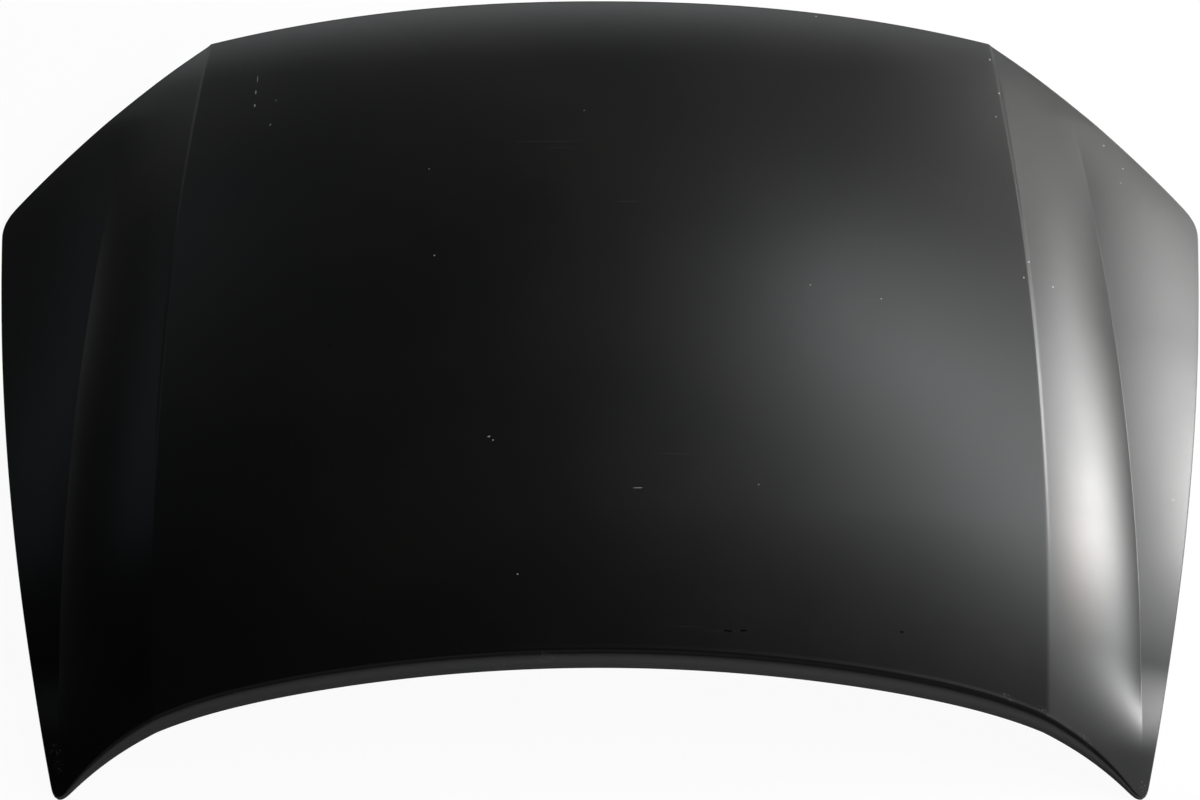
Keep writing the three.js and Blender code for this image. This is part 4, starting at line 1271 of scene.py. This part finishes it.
def plain_floor():
    paint = Finish("floor", Roughness=0.9)
    paint.shader.inputs["Base Color"].default_value = FLOOR_GREY
    seen, mirrored, through = rays(paint, "Camera", "Glossy", "Transmission")
    white = (seen + through) * WHITE_SHARE + mirrored * MIRRORED_SHARE
    glow = paint.add("ShaderNodeEmission", {}, {"Strength": 1.0}, output="Emission")
    sockets = {0: white.clamped(), 1: Wire(paint, paint.shader.outputs[0]), 2: glow}
    both = paint.add("ShaderNodeMixShader", {}, sockets)
    paint.links.new(both.socket, paint.nodes["Material Output"].inputs["Surface"])
    half = FLOOR_SIZE / 2
    mesh = bpy.data.meshes.new("floor")
    corners = [(-half, -half, 0), (half, -half, 0), (half, half, 0), (-half, half, 0)]
    mesh.from_pydata(corners, [], [(0, 1, 2, 3)])
    mesh.materials.append(paint.material)
    floor = new_object("floor", mesh)
    floor.location.z = -FLOOR_DROP
    return floor


plain_floor()

# %% World
HORIZON_TOP, CEILING_START = 0.02, 0.08
CEILING_LEVEL = 0.015
LEFT_DARK, LEFT_CLEAR = -0.85, -0.15


def studio_world():
    world = bpy.data.worlds.new("studio")
    bpy.context.scene.world = world
    sky = Finish("studio", world=world)
    sky.shader.inputs["Color"].default_value = (1, 1, 1, 1)
    direction = sky.add("ShaderNodeTexCoord", {}, {}, output="Generated")
    across, up = [
        sky.add("ShaderNodeSeparateXYZ", {}, {0: direction}, output=axis) for axis in ("X", "Z")]
    horizon = 1 - sky.step(up, HORIZON_TOP, CEILING_START)
    level = horizon * sky.step(across, LEFT_DARK, LEFT_CLEAR) + CEILING_LEVEL
    seen, through = rays(sky, "Camera", "Transmission")
    sky.feed(sky.shader.inputs["Strength"], level.maths("MAXIMUM", level, seen + through))


studio_world()

# %% [markdown]
# ## Lamps
# Eight rectangular lamps light the panel. The first seven began as numbers from another program,
# a least-squares fit to the brightness of the photograph. About half of its numbers are still
# here, rounded, and the rest were changed. The colours and the last lamp were never in the fit.
# Lamps placed by hand from test renders would be the plainer way.

# %% Lamps
LAMP_DISTANCE = 4.0


def softbox(name, azimuth, elevation, width, height, strength, colour):
    """A rectangular lamp aimed at the origin. Azimuth is in degrees from behind, towards the right."""
    light = bpy.data.lights.new(name, "AREA")
    light.shape = "RECTANGLE"
    light.size, light.size_y = width, height
    light.energy = strength * math.pi * width * height
    light.color = colour
    lamp = new_object(name, light)
    az, el = math.radians(azimuth), math.radians(elevation)
    away = Vector((math.cos(el) * math.sin(az), math.cos(el) * math.cos(az), math.sin(el)))
    lamp.location = away * LAMP_DISTANCE
    lamp.rotation_euler = away.to_track_quat("Z", "Y").to_euler()
    lamp.visible_camera = False


softbox("key", 69.0, 26.0, 0.74, 0.48, 46.0, (1.0, 0.97, 0.935))
softbox("key_wide", 64.5, 28.7, 1.74, 1.06, 15.6, (0.985, 0.99, 1.0))
softbox("side_band", 87.5, 24.2, 3.9, 0.34, 21.0, (0.97, 0.99, 1.0))
softbox("high_band", 54.0, 51.3, 3.3, 0.32, 15.0, (0.96, 0.985, 1.0))
softbox("low_band", 41.5, 20.5, 2.15, 0.30, 10.5, (1.0, 0.985, 0.96))
softbox("rear_low", -2.0, 6.5, 4.6, 0.40, 3.0, (0.95, 0.98, 1.0))
softbox("left_fill", -49.0, 35.0, 2.4, 0.45, 0.50, (0.80, 0.90, 1.0))
softbox("front_fill", 180.0, 38.0, 3.6, 1.2, 0.30, (0.97, 0.99, 1.0))

# %% [markdown]
# ## Camera
# The photograph looks down at the nose from about 57 degrees through a long lens. A long lens
# far away keeps the panel's two sides almost parallel.

# %% Camera
CAMERA_ELEVATION = 57.0
CAMERA_DISTANCE = 5.5022
CAMERA_AIM = Vector((0.0, -0.0640, 0.0940))
LENS_LENGTH, SENSOR_WIDTH, FARTHEST = 135.0, 36.0, 60.0
lens = bpy.data.cameras.new("camera")
lens.lens, lens.sensor_width, lens.clip_end = LENS_LENGTH, SENSOR_WIDTH, FARTHEST
camera = new_object("camera", lens)
tilt = math.radians(CAMERA_ELEVATION)
camera.location = CAMERA_AIM + Vector((0, -math.cos(tilt), math.sin(tilt))) * CAMERA_DISTANCE
camera.rotation_euler = (math.radians(90 - CAMERA_ELEVATION), 0, 0)
bpy.context.scene.camera = camera
bpy.context.scene.view_settings.view_transform = "Standard"
print("camera at", [round(v, 3) for v in camera.location])
